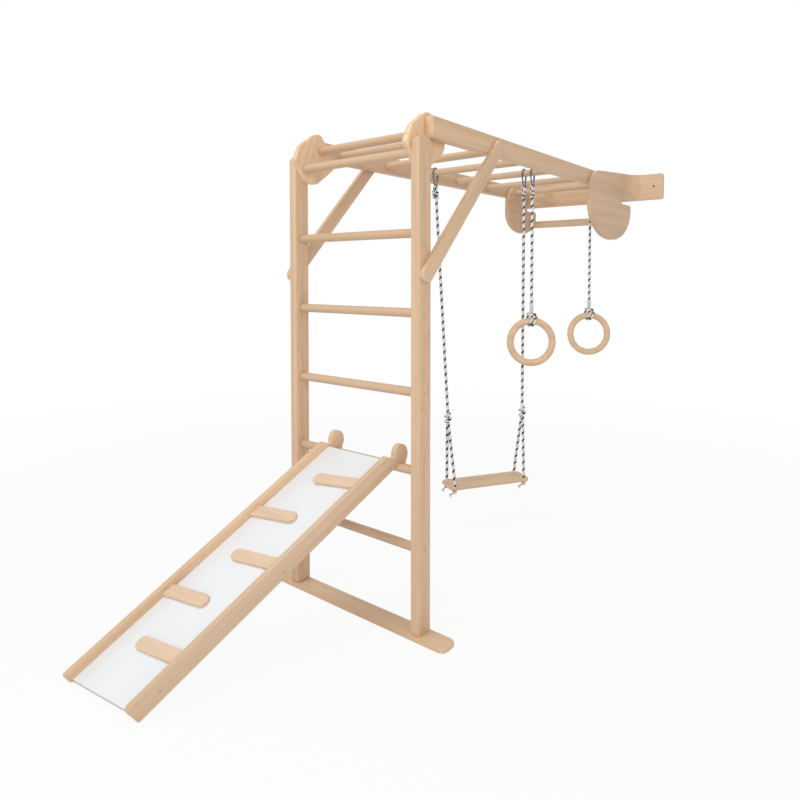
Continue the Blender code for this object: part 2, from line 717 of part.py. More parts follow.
# Rings
for side, place in (("left", RING_LEFT), ("right", RING_RIGHT)):
    ring_pivot = pivot("ring_pivot_" + side, (place[0], place[1], MONKEY_HEIGHT))
    centre = Vector((place[0], place[1], RING_HEIGHT))
    snap_hook("ring_hook_" + side, place, ring_pivot)
    wood(torus_piece("ring_" + side, centre, 0.0, RING_MINOR, None, ring_pivot))
    lashing = torus_piece("ring_lashing_" + side, centre, RING_MINOR + LASHING_GAP, LASHING_RADIUS,
                          LASHING_HALF_ANGLE, ring_pivot)
    paint(lashing, ROPE_WHITE, roughness=0.9)
    lashing_top = RING_HEIGHT + RING_MAJOR + LASHING_RADIUS
    line = taut((place[0], place[1], hook_bottom - ROPE_GAP),
                (place[0], place[1], lashing_top + ROPE_GAP))
    rope = tube("ring_rope_" + side, line, ROPE_RADIUS, ring_pivot)
    paint(rope, ROPE_WHITE, roughness=0.9)
    sleeve = pipe("ring_sleeve_" + side, place, SLEEVE_BOTTOM, SLEEVE_TOP,
                  ROPE_RADIUS + SLEEVE_GAP, SLEEVE_RADIUS, ring_pivot)
    paint(sleeve, CLEAR_SLEEVE, roughness=0.2)
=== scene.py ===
"""Indoor wooden wall bars with slide, swing and rings: the looks of every piece.

Metres, +Z up, in the frame of the packed parts.  X runs along the rungs and
+Y runs from the ladder to the wall.
"""
from math import atan, cos, pi, radians, sin, tan

import bmesh
import bpy
from mathutils import Euler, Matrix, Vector


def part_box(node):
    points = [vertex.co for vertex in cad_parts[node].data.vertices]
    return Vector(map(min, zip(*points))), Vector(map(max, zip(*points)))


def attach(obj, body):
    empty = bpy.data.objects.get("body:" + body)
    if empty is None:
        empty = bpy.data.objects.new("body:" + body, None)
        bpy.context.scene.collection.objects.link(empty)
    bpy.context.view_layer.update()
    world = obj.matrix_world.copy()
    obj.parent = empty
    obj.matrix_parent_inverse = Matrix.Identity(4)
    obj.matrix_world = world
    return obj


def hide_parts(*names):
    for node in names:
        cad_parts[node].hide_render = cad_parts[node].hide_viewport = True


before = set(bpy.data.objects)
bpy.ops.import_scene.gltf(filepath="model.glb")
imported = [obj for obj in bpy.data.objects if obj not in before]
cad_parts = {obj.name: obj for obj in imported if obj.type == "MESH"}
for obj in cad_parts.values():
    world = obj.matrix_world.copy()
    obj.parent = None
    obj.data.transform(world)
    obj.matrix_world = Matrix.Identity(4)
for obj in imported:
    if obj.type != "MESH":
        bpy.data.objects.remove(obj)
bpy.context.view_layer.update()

bl_info = {
    "name": "Wall Bars",
    "version": (1, 0, 0),
    "blender": (4, 5, 0),
    "location": "View3D > Sidebar > Wall Bars",
    "description": "Builds the finished look of wooden wall bars around their packed parts",
    "category": "Add Mesh",
}

# Sizes that the ropes and the shaped boards share with the parts
HALF_WIDTH = 0.283
OUTER_FACE = 0.319
GAP = 0.0003
SOCKET_DEPTH = 0.012
MONKEY_HEIGHT = 1.740
LADDER_RUNGS = (0.303, 0.570, 0.841, 1.113, 1.384)
MONKEY_RUNGS = (0.222, 0.522, 0.805, 1.103, 1.412, 1.709)
FRONT_RUNG = (-0.004, 1.655)
SHOULDER_RUNG = (0.081, 1.736)
LOW_BAR = (1.905, 1.557)
LOW_BAR_RADIUS = 0.021
PLATE_THICK = 0.024
WALL = 1.990
RAIL_FRONT = 1.862
BEAM_BACK = RAIL_FRONT - GAP
RAIL_THIN = WALL - 0.026
BEAM_TOP = 1.782
BRACE_ENDS = ((-0.005, 1.2445), (0.470, 1.740))
BRACE_THICK = 0.020

SLOPE = 0.713
SLOPE_ANGLE = atan(SLOPE)
SKEW = 0.33
SLIDE_RAIL_TOP = 0.6537
SLIDE_RAIL_DROP = 0.0680
SLIDE_RAIL_THICK = 0.0205
SLIDE_LEFT = -0.115
SLIDE_RIGHT = 0.215
SLIDE_TOES = (-0.866, -0.826)
BOARD_LEFT = SLIDE_LEFT + SLIDE_RAIL_THICK + GAP
BOARD_RIGHT = SLIDE_RIGHT - SLIDE_RAIL_THICK - GAP
BOARD_SURFACE = SLIDE_RAIL_TOP - 0.0306
BOARD_LOW = -1.060
BOARD_LOW_TURN = 0.10
BOARD_HIGH = -0.043
CLEAT_TURN = 0.12
CLEAT_MIDDLE = 0.015

SWING_PLACES = {"left": (-0.212, 0.805), "right": (0.109, 1.103)}
SEAT_MIDDLE = Vector((-0.0249, 0.9752, 0.0))
SEAT_TURN = radians(58.7)
SEAT_ALONG = Vector((cos(SEAT_TURN), sin(SEAT_TURN), 0.0))
SEAT_ACROSS = Vector((-sin(SEAT_TURN), cos(SEAT_TURN), 0.0))
SEAT_HALF = (0.2155, 0.065)
SEAT_HOLES = (0.189, 0.047)
SEAT_BOTTOM = 0.214
SEAT_TOP = 0.230
SWING_KNOT_REACH = 0.206
SWING_KNOT_HEIGHT = 0.551
SWING_KNOT_TALL = 0.020
LEG_SPREAD = 0.0066
LEG_BEND = 0.060
LEG_BELOW_SEAT = 0.002
LEG_BELOW_KNOT = 0.0018
SEAT_KNOT_DROP = 0.0093

RING_PLACES = {"left": (0.154, 1.103), "right": (0.202, 1.709)}
RING_HEIGHT = 0.915
RING_MAJOR = 0.103
RING_MINOR = 0.017
RING_TURN = radians(38.67)
RING_FACING = Vector((sin(RING_TURN), -cos(RING_TURN), 0.0))
RING_LEVEL = Vector((cos(RING_TURN), sin(RING_TURN), 0.0))
LASHING_RADIUS = 0.029

HOOK_WIRE = 0.0035
HOOK_TOP_RADIUS = 0.0215
HOOK_LOW_RADIUS = 0.0105
HOOK_LOW_CENTRE = 1.690
HOOK_BOTTOM = HOOK_LOW_CENTRE - HOOK_LOW_RADIUS - HOOK_WIRE
ROPE = 0.012
ROPE_STEP = 0.030
ROPE_GAP = 0.001
GOLDEN_ANGLE = 2.399963

X_AXIS = Vector((1.0, 0.0, 0.0))
Y_AXIS = Vector((0.0, 1.0, 0.0))
Z_AXIS = Vector((0.0, 0.0, 1.0))
WHITE = (1.0, 1.0, 1.0, 1.0)


# What a user would change

class BirchFinish(bpy.types.PropertyGroup):
    """Colours and figure of the lacquered birch"""
    pale: bpy.props.FloatVectorProperty(
        name="Pale wood", description="Colour between the growth rings",
        subtype="COLOR", size=4, min=0.0, max=1.0, default=(0.785, 0.552, 0.363, 1.0))
    dark: bpy.props.FloatVectorProperty(
        name="Late wood", description="Colour of the growth rings and fibres",
        subtype="COLOR", size=4, min=0.0, max=1.0, default=(0.60, 0.385, 0.235, 1.0))
    ring_step: bpy.props.FloatProperty(
        name="Ring spacing", description="Distance between two growth rings",
        unit="LENGTH", default=0.0042, min=0.001)
    figure: bpy.props.FloatProperty(
        name="Figure", description="How clearly the grain shows", default=1.0,
        min=0.0, max=1.0, subtype="FACTOR")


class TimberSizes(bpy.types.PropertyGroup):
    """Sizes that all wooden pieces share"""
    rung_radius: bpy.props.FloatProperty(
        name="Rung radius", description="Half the thickness of a rung",
        unit="LENGTH", default=0.016)
    rung_sides: bpy.props.IntProperty(
        name="Rung sides", description="Faces around a rung", default=56, min=12)
    ease: bpy.props.FloatProperty(
        name="Eased edge", description="Radius of the rounded edges of thick timber",
        unit="LENGTH", default=0.0032)
    thin_ease: bpy.props.FloatProperty(
        name="Eased edge of plates", description="Radius of the rounded edges of thin plates",
        unit="LENGTH", default=0.0024)


class RopeLay(bpy.types.PropertyGroup):
    """The plaited cover of the ropes"""
    diameter: bpy.props.FloatProperty(
        name="Diameter", description="Thickness of every rope", unit="LENGTH", default=ROPE)
    cover: bpy.props.FloatProperty(
        name="Cover", description="How far the plaited cover stands out", unit="LENGTH",
        default=0.0011)
    plait_step: bpy.props.FloatProperty(
        name="Plait step", description="Length of one crossing of the plaited yarns",
        unit="LENGTH", default=0.0062)
    plaits: bpy.props.IntProperty(
        name="Plaits", description="Yarn crossings around the rope", default=5, min=3)
    relief: bpy.props.FloatProperty(
        name="Relief", description="Height of the yarns", unit="LENGTH", default=0.0006)
    tracer_pitch: bpy.props.FloatProperty(
        name="Tracer pitch", description="Length of one turn of the black yarn",
        unit="LENGTH", default=0.036)
    white: bpy.props.FloatVectorProperty(
        name="White yarn", description="Colour of the cover", subtype="COLOR", size=4,
        min=0.0, max=1.0, default=(0.94, 0.94, 0.93, 1.0))
    black: bpy.props.FloatVectorProperty(
        name="Black yarn", description="Colour of the tracer", subtype="COLOR", size=4,
        min=0.0, max=1.0, default=(0.012, 0.012, 0.014, 1.0))


class Fastenings(bpy.types.PropertyGroup):
    """Screws, plugs and bolt heads"""
    plug_radius: bpy.props.FloatProperty(
        name="Plug radius", description="Half the width of a wooden screw plug",
        unit="LENGTH", default=0.0055)
    bolt_radius: bpy.props.FloatProperty(
        name="Bolt head radius", description="Half the width of a brace bolt's head",
        unit="LENGTH", default=0.0062)


class StudioLight(bpy.types.PropertyGroup):
    """Camera, lamps and floor"""
    lens: bpy.props.FloatProperty(
        name="Lens", description="Focal length in millimetres on a 36 mm sensor", default=28.141)
    sky: bpy.props.FloatProperty(
        name="Sky", description="Strength of the even light from all round", default=0.54)
    key: bpy.props.FloatProperty(
        name="Key lamp", description="Power of the high lamp in front on the left",
        subtype="POWER", default=90.0)
    front: bpy.props.FloatProperty(
        name="Front lamp", description="Power of the lamp beside the camera", subtype="POWER",
        default=50.0)
    fill: bpy.props.FloatProperty(
        name="Fill lamp", description="Power of the lamp on the right", subtype="POWER",
        default=12.0)
    floor: bpy.props.FloatVectorProperty(
        name="Floor", description="Colour of the floor", subtype="COLOR", size=4,
        min=0.0, max=1.0, default=(0.88, 0.88, 0.88, 1.0))


# Node helpers

class Number:
    """A number that nodes carry: a sum on it adds a Math node."""

    def __init__(self, socket):
        self.socket = socket

    def sum(self, operation, other=0.0):
        return Number(add_node(self.socket.id_data, "ShaderNodeMath", {0: self, 1: other},
                               operation=operation).outputs[0])

    def __add__(self, other):
        return self.sum("ADD", other)

    def __sub__(self, other):
        return self.sum("SUBTRACT", other)

    def __mul__(self, other):
        return self.sum("MULTIPLY", other)

    def __truediv__(self, other):
        return self.sum("DIVIDE", other)


def fill(node, sockets):
    """Set a node's sockets; a value is a plain one, a Number or another node's output."""
    for key, value in sockets.items():
        value = value.socket if isinstance(value, Number) else value
        if isinstance(value, bpy.types.NodeSocket):
            node.id_data.links.new(value, node.inputs[key])
        else:
            node.inputs[key].default_value = value
    return node


def add_node(tree, kind, sockets=None, **settings):
    """A new node with its settings and, after them, its sockets."""
    made = tree.nodes.new(kind)
    for name, value in settings.items():
        setattr(made, name, value)
    return fill(made, sockets or {})


def remap(tree, value, low, high, to_low=0.0, to_high=1.0):
    """A number carried from one range to another and held at the ends."""
    return Number(add_node(tree, "ShaderNodeMapRange", {
        "Value": value, "From Min": low, "From Max": high, "To Min": to_low,
        "To Max": to_high}).outputs[0])


def blend_colour(tree, factor, low, high):
    """Between two colours, each of three numbers or another node's output."""
    low, high = [(*c, 1.0) if isinstance(c, tuple) else c for c in (low, high)]
    return add_node(tree, "ShaderNodeMix", {0: factor, 6: low, 7: high}, data_type="RGBA",
                    clamp_factor=True).outputs[2]


def own_place(tree):
    """Where a point lies on the piece, at rest."""
    return add_node(tree, "ShaderNodeTexCoord").outputs["Object"]


def noise(tree, scale, detail):
    """A fine uneven pattern that stays with the piece."""
    return Number(add_node(tree, "ShaderNodeTexNoise", {
        "Vector": own_place(tree), "Scale": scale, "Detail": detail}).outputs["Fac"])


def bump(tree, strength, distance, height):
    return add_node(tree, "ShaderNodeBump", {
        "Strength": strength, "Distance": distance, "Height": height}).outputs[0]


def new_group(name, kind, inputs, outputs):
    """A node tree with its inputs (label, kind of socket, value) and outputs (label, kind)."""
    tree = bpy.data.node_groups.new(name, kind)
    for label, socket, value in inputs:
        made = tree.interface.new_socket(name=label, in_out="INPUT",
                                         socket_type="NodeSocket" + socket)
        if value is not None:
            made.default_value = value
    for label, socket in outputs:
        tree.interface.new_socket(name=label, in_out="OUTPUT", socket_type="NodeSocket" + socket)
    return tree, tree.nodes.new("NodeGroupInput").outputs, tree.nodes.new("NodeGroupOutput")


def new_material(name):
    """A material, its node tree and its shader."""
    material = bpy.data.materials.new(name)
    material.use_nodes = True
    tree = material.node_tree
    return material, tree, tree.nodes["Principled BSDF"]


# Materials

def birch_figure():
    """Colour, roughness and height of birch whose grain runs along X."""
    tree, given, result = new_group("birch_figure", "ShaderNodeTree", (
        ("Place", "Vector", None), ("Pale", "Color", (0.8, 0.6, 0.4, 1.0)),
        ("Dark", "Color", (0.7, 0.5, 0.3, 1.0)), ("Ring Step", "Float", 0.004),
        ("Figure", "Float", 0.4)),
        (("Colour", "Color"), ("Roughness", "Float"), ("Height", "Float")))
    place = given["Place"]

    def streaks(along, across, detail):
        drawn_out = add_node(tree, "ShaderNodeVectorMath", {0: place, 1: (along, across, across)},
                             operation="MULTIPLY").outputs[0]
        return Number(add_node(tree, "ShaderNodeTexNoise", {
            "Vector": drawn_out, "Scale": 1.0, "Detail": detail,
            "Roughness": 0.55}).outputs["Fac"])

    wander = streaks(1.4, 5.0, 2.0) - 0.5
    ripple = streaks(6.0, 60.0, 2.0) - 0.5
    apart = add_node(tree, "ShaderNodeSeparateXYZ", {0: place}).outputs
    across = add_node(tree, "ShaderNodeCombineXYZ", {1: apart[1], 2: apart[2]}).outputs[0]
    heart = (0.0, -0.052, 0.118)
    from_heart = add_node(tree, "ShaderNodeVectorMath", {0: across, 1: heart},
                          operation="ADD").outputs[0]
    reach = Number(add_node(tree, "ShaderNodeVectorMath", {0: from_heart},
                            operation="LENGTH").outputs["Value"])
    turns = ((reach + wander * 0.055 + ripple * 0.0022) / given["Ring Step"]).sum("FRACT")
    late = turns.sum("POWER", 3.0)
    fibre = streaks(9.0, 620.0, 3.0)
    cloud = streaks(1.3, 36.0, 3.0)
    fleck = remap(tree, streaks(150.0, 1300.0, 1.0), 0.66, 0.74)
    figure = late * 0.35 + fibre * 0.50 + cloud * 1.70 - 0.95
    colour = blend_colour(tree, figure * given["Figure"], given["Pale"], given["Dark"])
    colour = blend_colour(tree, fleck * 0.28, colour, (0.46, 0.27, 0.15))
    fill(result, {"Colour": colour, "Roughness": fibre * 0.16 + 0.42,
                  "Height": fibre * 0.6 - fleck})
    return tree


def birch(name, along, seat, tone_and_painted_light=0.0, figure=1.0):
    """Birch for one board: grain along a direction, its own seat in the log and a shift of its
    pale colour, which is the piece's own colour on some pieces and painted shade and painted light
    on the rungs, cheeks, right slide rail and cleats.
    """
    look = bpy.context.scene.birch_finish
    material, tree, shader = new_material(name)
    turn = along.normalized().rotation_difference(X_AXIS).to_euler()
    place = add_node(tree, "ShaderNodeMapping", {"Vector": own_place(tree), "Location": seat,
                                                 "Rotation": turn}).outputs[0]
    # The shift scales the pale colour per channel: on the rungs and the right slide rail it is
    # painted shade, on the cheeks painted light, on the cleats a painted reflection.
    lift = tone_and_painted_light if isinstance(tone_and_painted_light, tuple) else (tone_and_painted_light, tone_and_painted_light, tone_and_painted_light)
    pale = [min(1.0, channel * (1.0 + more)) for channel, more in zip(look.pale, lift)] + [1.0]
    wood = add_node(tree, "ShaderNodeGroup", {
        "Place": place, "Pale": pale, "Dark": list(look.dark), "Ring Step": look.ring_step,
        "Figure": look.figure * figure},
        node_tree=bpy.data.node_groups.get("birch_figure") or birch_figure()).outputs
    fill(shader, {"Base Color": wood["Colour"], "Roughness": wood["Roughness"],
                  "Normal": bump(tree, 0.25, 0.0003, wood["Height"]),
                  "Specular IOR Level": 0.35})
    return material


def white_laminate(name):
    """Smooth white facing with a faint haze and grit."""
    material, tree, shader = new_material(name)
    haze = noise(tree, 5.0, 3.0)
    fill(shader, {
        "Base Color": blend_colour(tree, haze, (0.893, 0.902, 0.925), (0.865, 0.875, 0.900)),
        "Roughness": haze * 0.10 + 0.24,
        "Normal": bump(tree, 0.12, 0.0002, noise(tree, 900.0, 2.0))})
    return material


def edge_band(name):
    """Grey core that shows at the sawn ends of the white board."""
    material, tree, shader = new_material(name)
    grain = noise(tree, 420.0, 3.0)
    fill(shader, {"Base Color": blend_colour(tree, grain, (0.42, 0.41, 0.40), (0.56, 0.55, 0.53)),
                  "Roughness": 0.6})
    return material


def plaited_rope(name):
    """White plait with a black and a grey yarn and painted shade in the grooves between its
    plaits; reads the lay that the rope tree stores.
    """
    lay = bpy.context.scene.rope_lay
    material, tree, shader = new_material(name)
    stored = add_node(tree, "ShaderNodeAttribute", attribute_name="lay").outputs["Vector"]
    level, upright, run = add_node(tree, "ShaderNodeSeparateXYZ", {0: stored}).outputs
    turn = Number(upright).sum("ARCTAN2", level) / (2.0 * pi)
    along = Number(run) / lay.tracer_pitch

    def yarn(sign, offset, half):
        phase = (along + offset + turn * sign).sum("FRACT")
        return remap(tree, (phase - 0.5).sum("ABSOLUTE"), half, half * 0.9)

    ripple = Number(run) * (2.0 * pi / lay.plait_step)
    rows = (ripple + turn * (2.0 * pi * lay.plaits)).sum("SINE")
    fuzz = noise(tree, 1100.0, 3.0)
    # Painted shade: rows that follow the plait darken the white yarn towards grey in its grooves.
    colour = blend_colour(tree, remap(tree, rows, -1.0, -0.1, 0.60, 1.0), (0.42, 0.42, 0.42),
                          tuple(lay.white)[:3])
    colour = blend_colour(tree, fuzz * 0.20, colour, (0.60, 0.60, 0.58))
    colour = blend_colour(tree, yarn(2.0, 0.3, 0.09) * 0.50, colour, (0.20, 0.20, 0.20))
    colour = blend_colour(tree, yarn(-1.0, 0.0, 0.165), colour, tuple(lay.black)[:3])
    fill(shader, {"Base Color": colour, "Normal": bump(tree, 0.5, 0.0004, fuzz),
                  "Roughness": 0.85})
    return material


def steel(name, colour, rough):
    """Metal with a fine uneven polish."""
    material, tree, shader = new_material(name)
    brushed = noise(tree, 350.0, 4.0)
    shaded = tuple(channel * 0.78 for channel in colour)
    fill(shader, {"Base Color": blend_colour(tree, brushed, shaded, colour),
                  "Roughness": brushed * 0.22 + rough, "Metallic": 1.0})
    return material


def clear_plastic(name):
    """A cloudy clear sleeve."""
    material, tree, shader = new_material(name)
    haze = noise(tree, 160.0, 2.0)
    fill(shader, {"Base Color": blend_colour(tree, haze, (0.86, 0.86, 0.90), (0.93, 0.93, 0.95)),
                  "Roughness": haze * 0.10 + 0.22, "Transmission Weight": 0.35, "IOR": 1.4})
    return material


def once(maker, name, *settings):
    """A material that several pieces share."""
    return bpy.data.materials.get(name) or maker(name, *settings)


# Shapes

def in_scene(name, data):
    item = bpy.data.objects.new(name, data)
    bpy.context.scene.collection.objects.link(item)
    return item


def arc(centre, radius, start, end, steps):
    """Points on an arc, angles in degrees, a radius or a pair of radii."""
    wide, tall = radius if isinstance(radius, tuple) else (radius, radius)
    points = []
    for index in range(steps + 1):
        angle = radians(start + (end - start) * index / steps)
        points.append((centre[0] + wide * cos(angle), centre[1] + tall * sin(angle)))
    return points


def shares(steps):
    """Even shares from 0 to 1."""
    return [index / steps for index in range(steps + 1)]


def rounded(corners, steps=9):
    """Round each corner (a, b, radius) of a closed outline; radius 0 is a plain point."""
    outline = []
    for index, (a, b, radius) in enumerate(corners):
        if radius == 0.0:
            outline.append((a, b))
            continue
        here = Vector((a, b))
        before = Vector(corners[index - 1][:2]) - here
        after = Vector(corners[(index + 1) % len(corners)][:2]) - here
        half = before.angle(after) / 2.0
        reach = min(radius / tan(half), 0.45 * before.length, 0.45 * after.length)
        first = here + before.normalized() * reach
        last = here + after.normalized() * reach
        for t in shares(steps):
            outline.append(tuple(first * (1 - t) ** 2 + here * 2 * t * (1 - t) + last * t ** 2))
    return outline


def oblong(low, high, corner=0.0, steps=12):
    """A rectangle between two opposite corners, rounded at all four."""
    (a, b), (c, d) = low, high
    return rounded(((a, b, corner), (c, b, corner), (c, d, corner), (a, d, corner)), steps)


def skin(work, low, high):
    """A band of faces between two rings of points; a ring of one point is a tip."""
    count = max(len(low), len(high))
    for index in range(count):
        after = (index + 1) % count
        if len(low) == 1:
            work.faces.new((low[0], high[after], high[index]))
        elif len(high) == 1:
            work.faces.new((low[index], low[after], high[0]))
        else:
            work.faces.new((low[index], low[after], high[after], high[index]))


def close_up(work, loops):
    """A solid between the first and the last of a stack of equal loops."""
    rows = [[work.verts.new(point) for point in loop] for loop in loops]
    for low, high in zip(rows, rows[1:]):
        skin(work, low, high)
    work.faces.new(rows[0][::-1])
    work.faces.new(rows[-1])


def linked(name, work):
    """A new object from a worked mesh, with its faces turned outwards."""
    bmesh.ops.recalc_face_normals(work, faces=work.faces)
    mesh = bpy.data.meshes.new(name)
    work.to_mesh(mesh)
    work.free()
    return in_scene(name, mesh)


def stack(name, loops):
    work = bmesh.new()
    close_up(work, loops)
    return linked(name, work)


def plate(name, outline, axis, low, high, skew=0.0):
    """An outline drawn square to an axis and given a thickness along it."""
    stand = {"X": lambda level, a, b: (level + skew * a, a, b),
             "Y": lambda level, a, b: (a, level, b),
             "Z": lambda level, a, b: (a, b, level)}[axis]
    return stack(name, [[stand(level, a, b) for a, b in outline] for level in (low, high)])


def ease(item, width, segments=3, angle=48.0):
    """Round the edges that are sharper than an angle in degrees."""
    bevel = item.modifiers.new("eased", "BEVEL")
    bevel.width = width
    bevel.segments = segments
    bevel.limit_method = "ANGLE"
    bevel.angle_limit = radians(angle)
    return item


def carve(item, cutter, operation="DIFFERENCE"):
    """Cut a piece with another one, which is removed once the piece is settled."""
    tool = item.modifiers.new("carved", "BOOLEAN")
    tool.operation = operation
    tool.solver = "EXACT"
    tool.object = cutter
    return item


def rods(name, places, reach, radius=None):
    """Parallel rods along X that drill the sockets of rungs at places (Y, Z)."""
    sizes = bpy.context.scene.timber_sizes
    work = bmesh.new()
    for place in places:
        loop = arc(place, (radius or sizes.rung_radius) + GAP, 0.0,
                   360.0 - 360.0 / sizes.rung_sides, sizes.rung_sides - 1)
        close_up(work, [[(x, a, b) for a, b in loop] for x in reach])
    return linked(name, work)


def lathe(name, profile, centre, axis, sides=28):
    """A turned shape: profile of (radius, height) along an axis from a centre."""
    up = axis.normalized()
    side = up.orthogonal().normalized()
    other = up.cross(side)
    spokes = [side * cos(2 * pi * k / sides) + other * sin(2 * pi * k / sides)
              for k in range(sides)]
    work = bmesh.new()
    rows = []
    for radius, height in profile:
        level = centre + up * height
        ring = [level] if radius == 0.0 else [level + spoke * radius for spoke in spokes]
        rows.append([work.verts.new(point) for point in ring])
    for low, high in zip(rows, rows[1:]):
        skin(work, low, high)
    return linked(name, work)


def settled(item, smooth=32.0):
    """The evaluated object as a plain mesh, smooth where it is round."""
    graph = bpy.context.evaluated_depsgraph_get()
    graph.update()
    mesh = bpy.data.meshes.new_from_object(item.evaluated_get(graph), depsgraph=graph)
    name = item.name
    bpy.data.objects.remove(item)
    mesh.name = name
    mesh.shade_smooth()
    mesh.set_sharp_from_angle(angle=radians(smooth))
    return in_scene(name, mesh)


def covered(item, material):
    """Give all of a mesh one material."""
    item.data.materials.clear()
    item.data.materials.append(material)
    for polygon in item.data.polygons:
        polygon.material_index = 0
    return item


def assign(item, body, slot, *nodes):
    """Let a piece ride on a body and stand for its CAD nodes, which are hidden; the material slot
    is not used.
    """
    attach(item, body)
    if nodes:
        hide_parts(*nodes)
    return item


def fit(item, body, material, slot, *nodes):
    """Settle a piece, give it its material and let it stand for its CAD nodes."""
    return assign(covered(settled(item), material), body, slot, *nodes)


def timber(item, body, node, along, seat, tone_and_painted_light=0.0, figure=1.0):
    """Settle a wooden piece that stands for a CAD node, in a cut of birch of its own."""
    return fit(item, body, birch(node + "_birch", along, seat, tone_and_painted_light, figure), "birch", node)


def remove(*items):
    for item in items:
        bpy.data.objects.remove(item)


def joined(name, parts):
    """Several meshes as one piece."""
    item = parts[0]
    with bpy.context.temp_override(active_object=item, object=item, selected_objects=parts,
                                   selected_editable_objects=parts):
        bpy.ops.object.join()
    item.name = item.data.name = name
    return item


# Geometry node trees

def new_tree(name, *inputs):
    """A tree that takes a geometry, its sizes and a material, and gives a geometry."""
    return new_group(name, "GeometryNodeTree", (
        ("Geometry", "Geometry", None), *inputs, ("Material", "Material", None)),
        (("Geometry", "Geometry"),))


def end_tree(tree, given, result, node):
    """Every tree ends in Realize Instances and Set Material."""
    real = add_node(tree, "GeometryNodeRealizeInstances", {0: node.outputs[0]})
    done = add_node(tree, "GeometryNodeSetMaterial", {0: real.outputs[0],
                                                      "Material": given["Material"]})
    fill(result, {0: done.outputs[0]})
    return tree


def rung_tree(name):
    """A turned rod along X on every point."""
    tree, given, result = new_tree(name, ("Radius", "Float", 0.016), ("Length", "Float", 0.5),
                                   ("Sides", "Int", 32))
    rod = add_node(tree, "GeometryNodeMeshCylinder", {
        "Vertices": given["Sides"], "Radius": given["Radius"], "Depth": given["Length"]})
    laid = add_node(tree, "GeometryNodeTransform", {"Geometry": rod.outputs["Mesh"],
                                                    "Rotation": (0.0, pi / 2.0, 0.0)})
    return end_tree(tree, given, result, add_node(tree, "GeometryNodeInstanceOnPoints", {
        "Points": given["Geometry"], "Instance": laid.outputs[0]}))


def fastener_tree(name):
    """One head on every point, turned to the point's stored way."""
    tree, given, result = new_tree(name, ("Head", "Object", None), ("Size", "Float", 1.0),
                                   ("Seed", "Int", 7))
    head = add_node(tree, "GeometryNodeObjectInfo", {"Object": given["Head"]})
    way = add_node(tree, "GeometryNodeInputNamedAttribute", {"Name": "way"},
                   data_type="FLOAT_VECTOR")
    facing = add_node(tree, "FunctionNodeAlignRotationToVector",
                      {"Vector": way.outputs["Attribute"]}, axis="Z")
    spin = add_node(tree, "FunctionNodeRandomValue", {3: 2.0 * pi, "Seed": given["Seed"]},
                    data_type="FLOAT")
    own = add_node(tree, "FunctionNodeAxisAngleToRotation", {"Axis": (0.0, 0.0, 1.0),
                                                             "Angle": spin.outputs[1]})
    turned = add_node(tree, "FunctionNodeRotateRotation",
                      {0: facing.outputs[0], 1: own.outputs[0]}, rotation_space="LOCAL")
    return end_tree(tree, given, result, add_node(tree, "GeometryNodeInstanceOnPoints", {
        "Points": given["Geometry"], "Instance": head.outputs["Geometry"],
        "Rotation": turned.outputs[0], "Scale": given["Size"]}))


def rope_tree(name):
    """A plaited rope along a curve; it stores its lay for the material."""
    tree, given, result = new_tree(
        name, ("Radius", "Float", 0.006), ("Sides", "Int", 24), ("Step", "Float", 0.0014),
        ("Plait Step", "Float", 0.006), ("Plaits", "Int", 5), ("Relief", "Float", 0.0006),
        ("Start", "Float", 0.0))

    def stored(node, label, value, **settings):
        return add_node(tree, "GeometryNodeStoreNamedAttribute", {
            "Geometry": node.outputs[0], "Name": label, "Value": value},
            domain="POINT", **settings)

    def read(label):
        return Number(add_node(tree, "GeometryNodeInputNamedAttribute",
                               {"Name": label}).outputs["Attribute"])

    line = add_node(tree, "GeometryNodeResampleCurve",
                    {"Curve": given["Geometry"], "Length": given["Step"]}, mode="LENGTH")
    where = add_node(tree, "GeometryNodeSplineParameter").outputs
    line = stored(line, "run", Number(where["Length"]) + given["Start"])
    loop = add_node(tree, "GeometryNodeCurvePrimitiveCircle",
                    {"Resolution": given["Sides"], "Radius": given["Radius"]})
    loop = stored(loop, "turn", where["Factor"])
    cover = add_node(tree, "GeometryNodeCurveToMesh", {
        "Curve": line.outputs[0], "Profile Curve": loop.outputs[0], "Fill Caps": True})
    turn = read("turn")
    along = read("run")
    half_around = turn * pi * given["Plaits"]
    half_along = along * pi / given["Plait Step"]
    right = (half_along + half_around).sum("SINE").sum("ABSOLUTE")
    left = (half_along - half_around).sum("SINE").sum("ABSOLUTE")
    lift = right * left * given["Relief"] - given["Relief"]
    normal = add_node(tree, "GeometryNodeInputNormal").outputs[0]
    offset = add_node(tree, "ShaderNodeVectorMath", {0: normal, "Scale": lift}, operation="SCALE")
    cover = add_node(tree, "GeometryNodeSetPosition",
                     {"Geometry": cover.outputs[0], "Offset": offset.outputs[0]})
    angle = turn * (2.0 * pi)
    lay = add_node(tree, "ShaderNodeCombineXYZ", {0: angle.sum("COSINE"), 1: angle.sum("SINE"),
                                                  2: along})
    return end_tree(tree, given, result,
                    stored(cover, "lay", lay.outputs[0], data_type="FLOAT_VECTOR"))


def grown(item, maker, name, **inputs):
    """Put a node tree on an object, made on its first use, and set its named inputs."""
    tree = bpy.data.node_groups.get(name) or maker(name)
    modifier = item.modifiers.new(name, "NODES")
    modifier.node_group = tree
    for socket in tree.interface.items_tree:
        key = socket.name.replace(" ", "_").lower()
        if socket.in_out == "INPUT" and key in inputs:
            modifier[socket.identifier] = inputs[key]
    return item


def dots(name, points):
    """Loose points for a node tree to build on."""
    mesh = bpy.data.meshes.new(name)
    mesh.from_pydata(points, [], [])
    return in_scene(name, mesh)


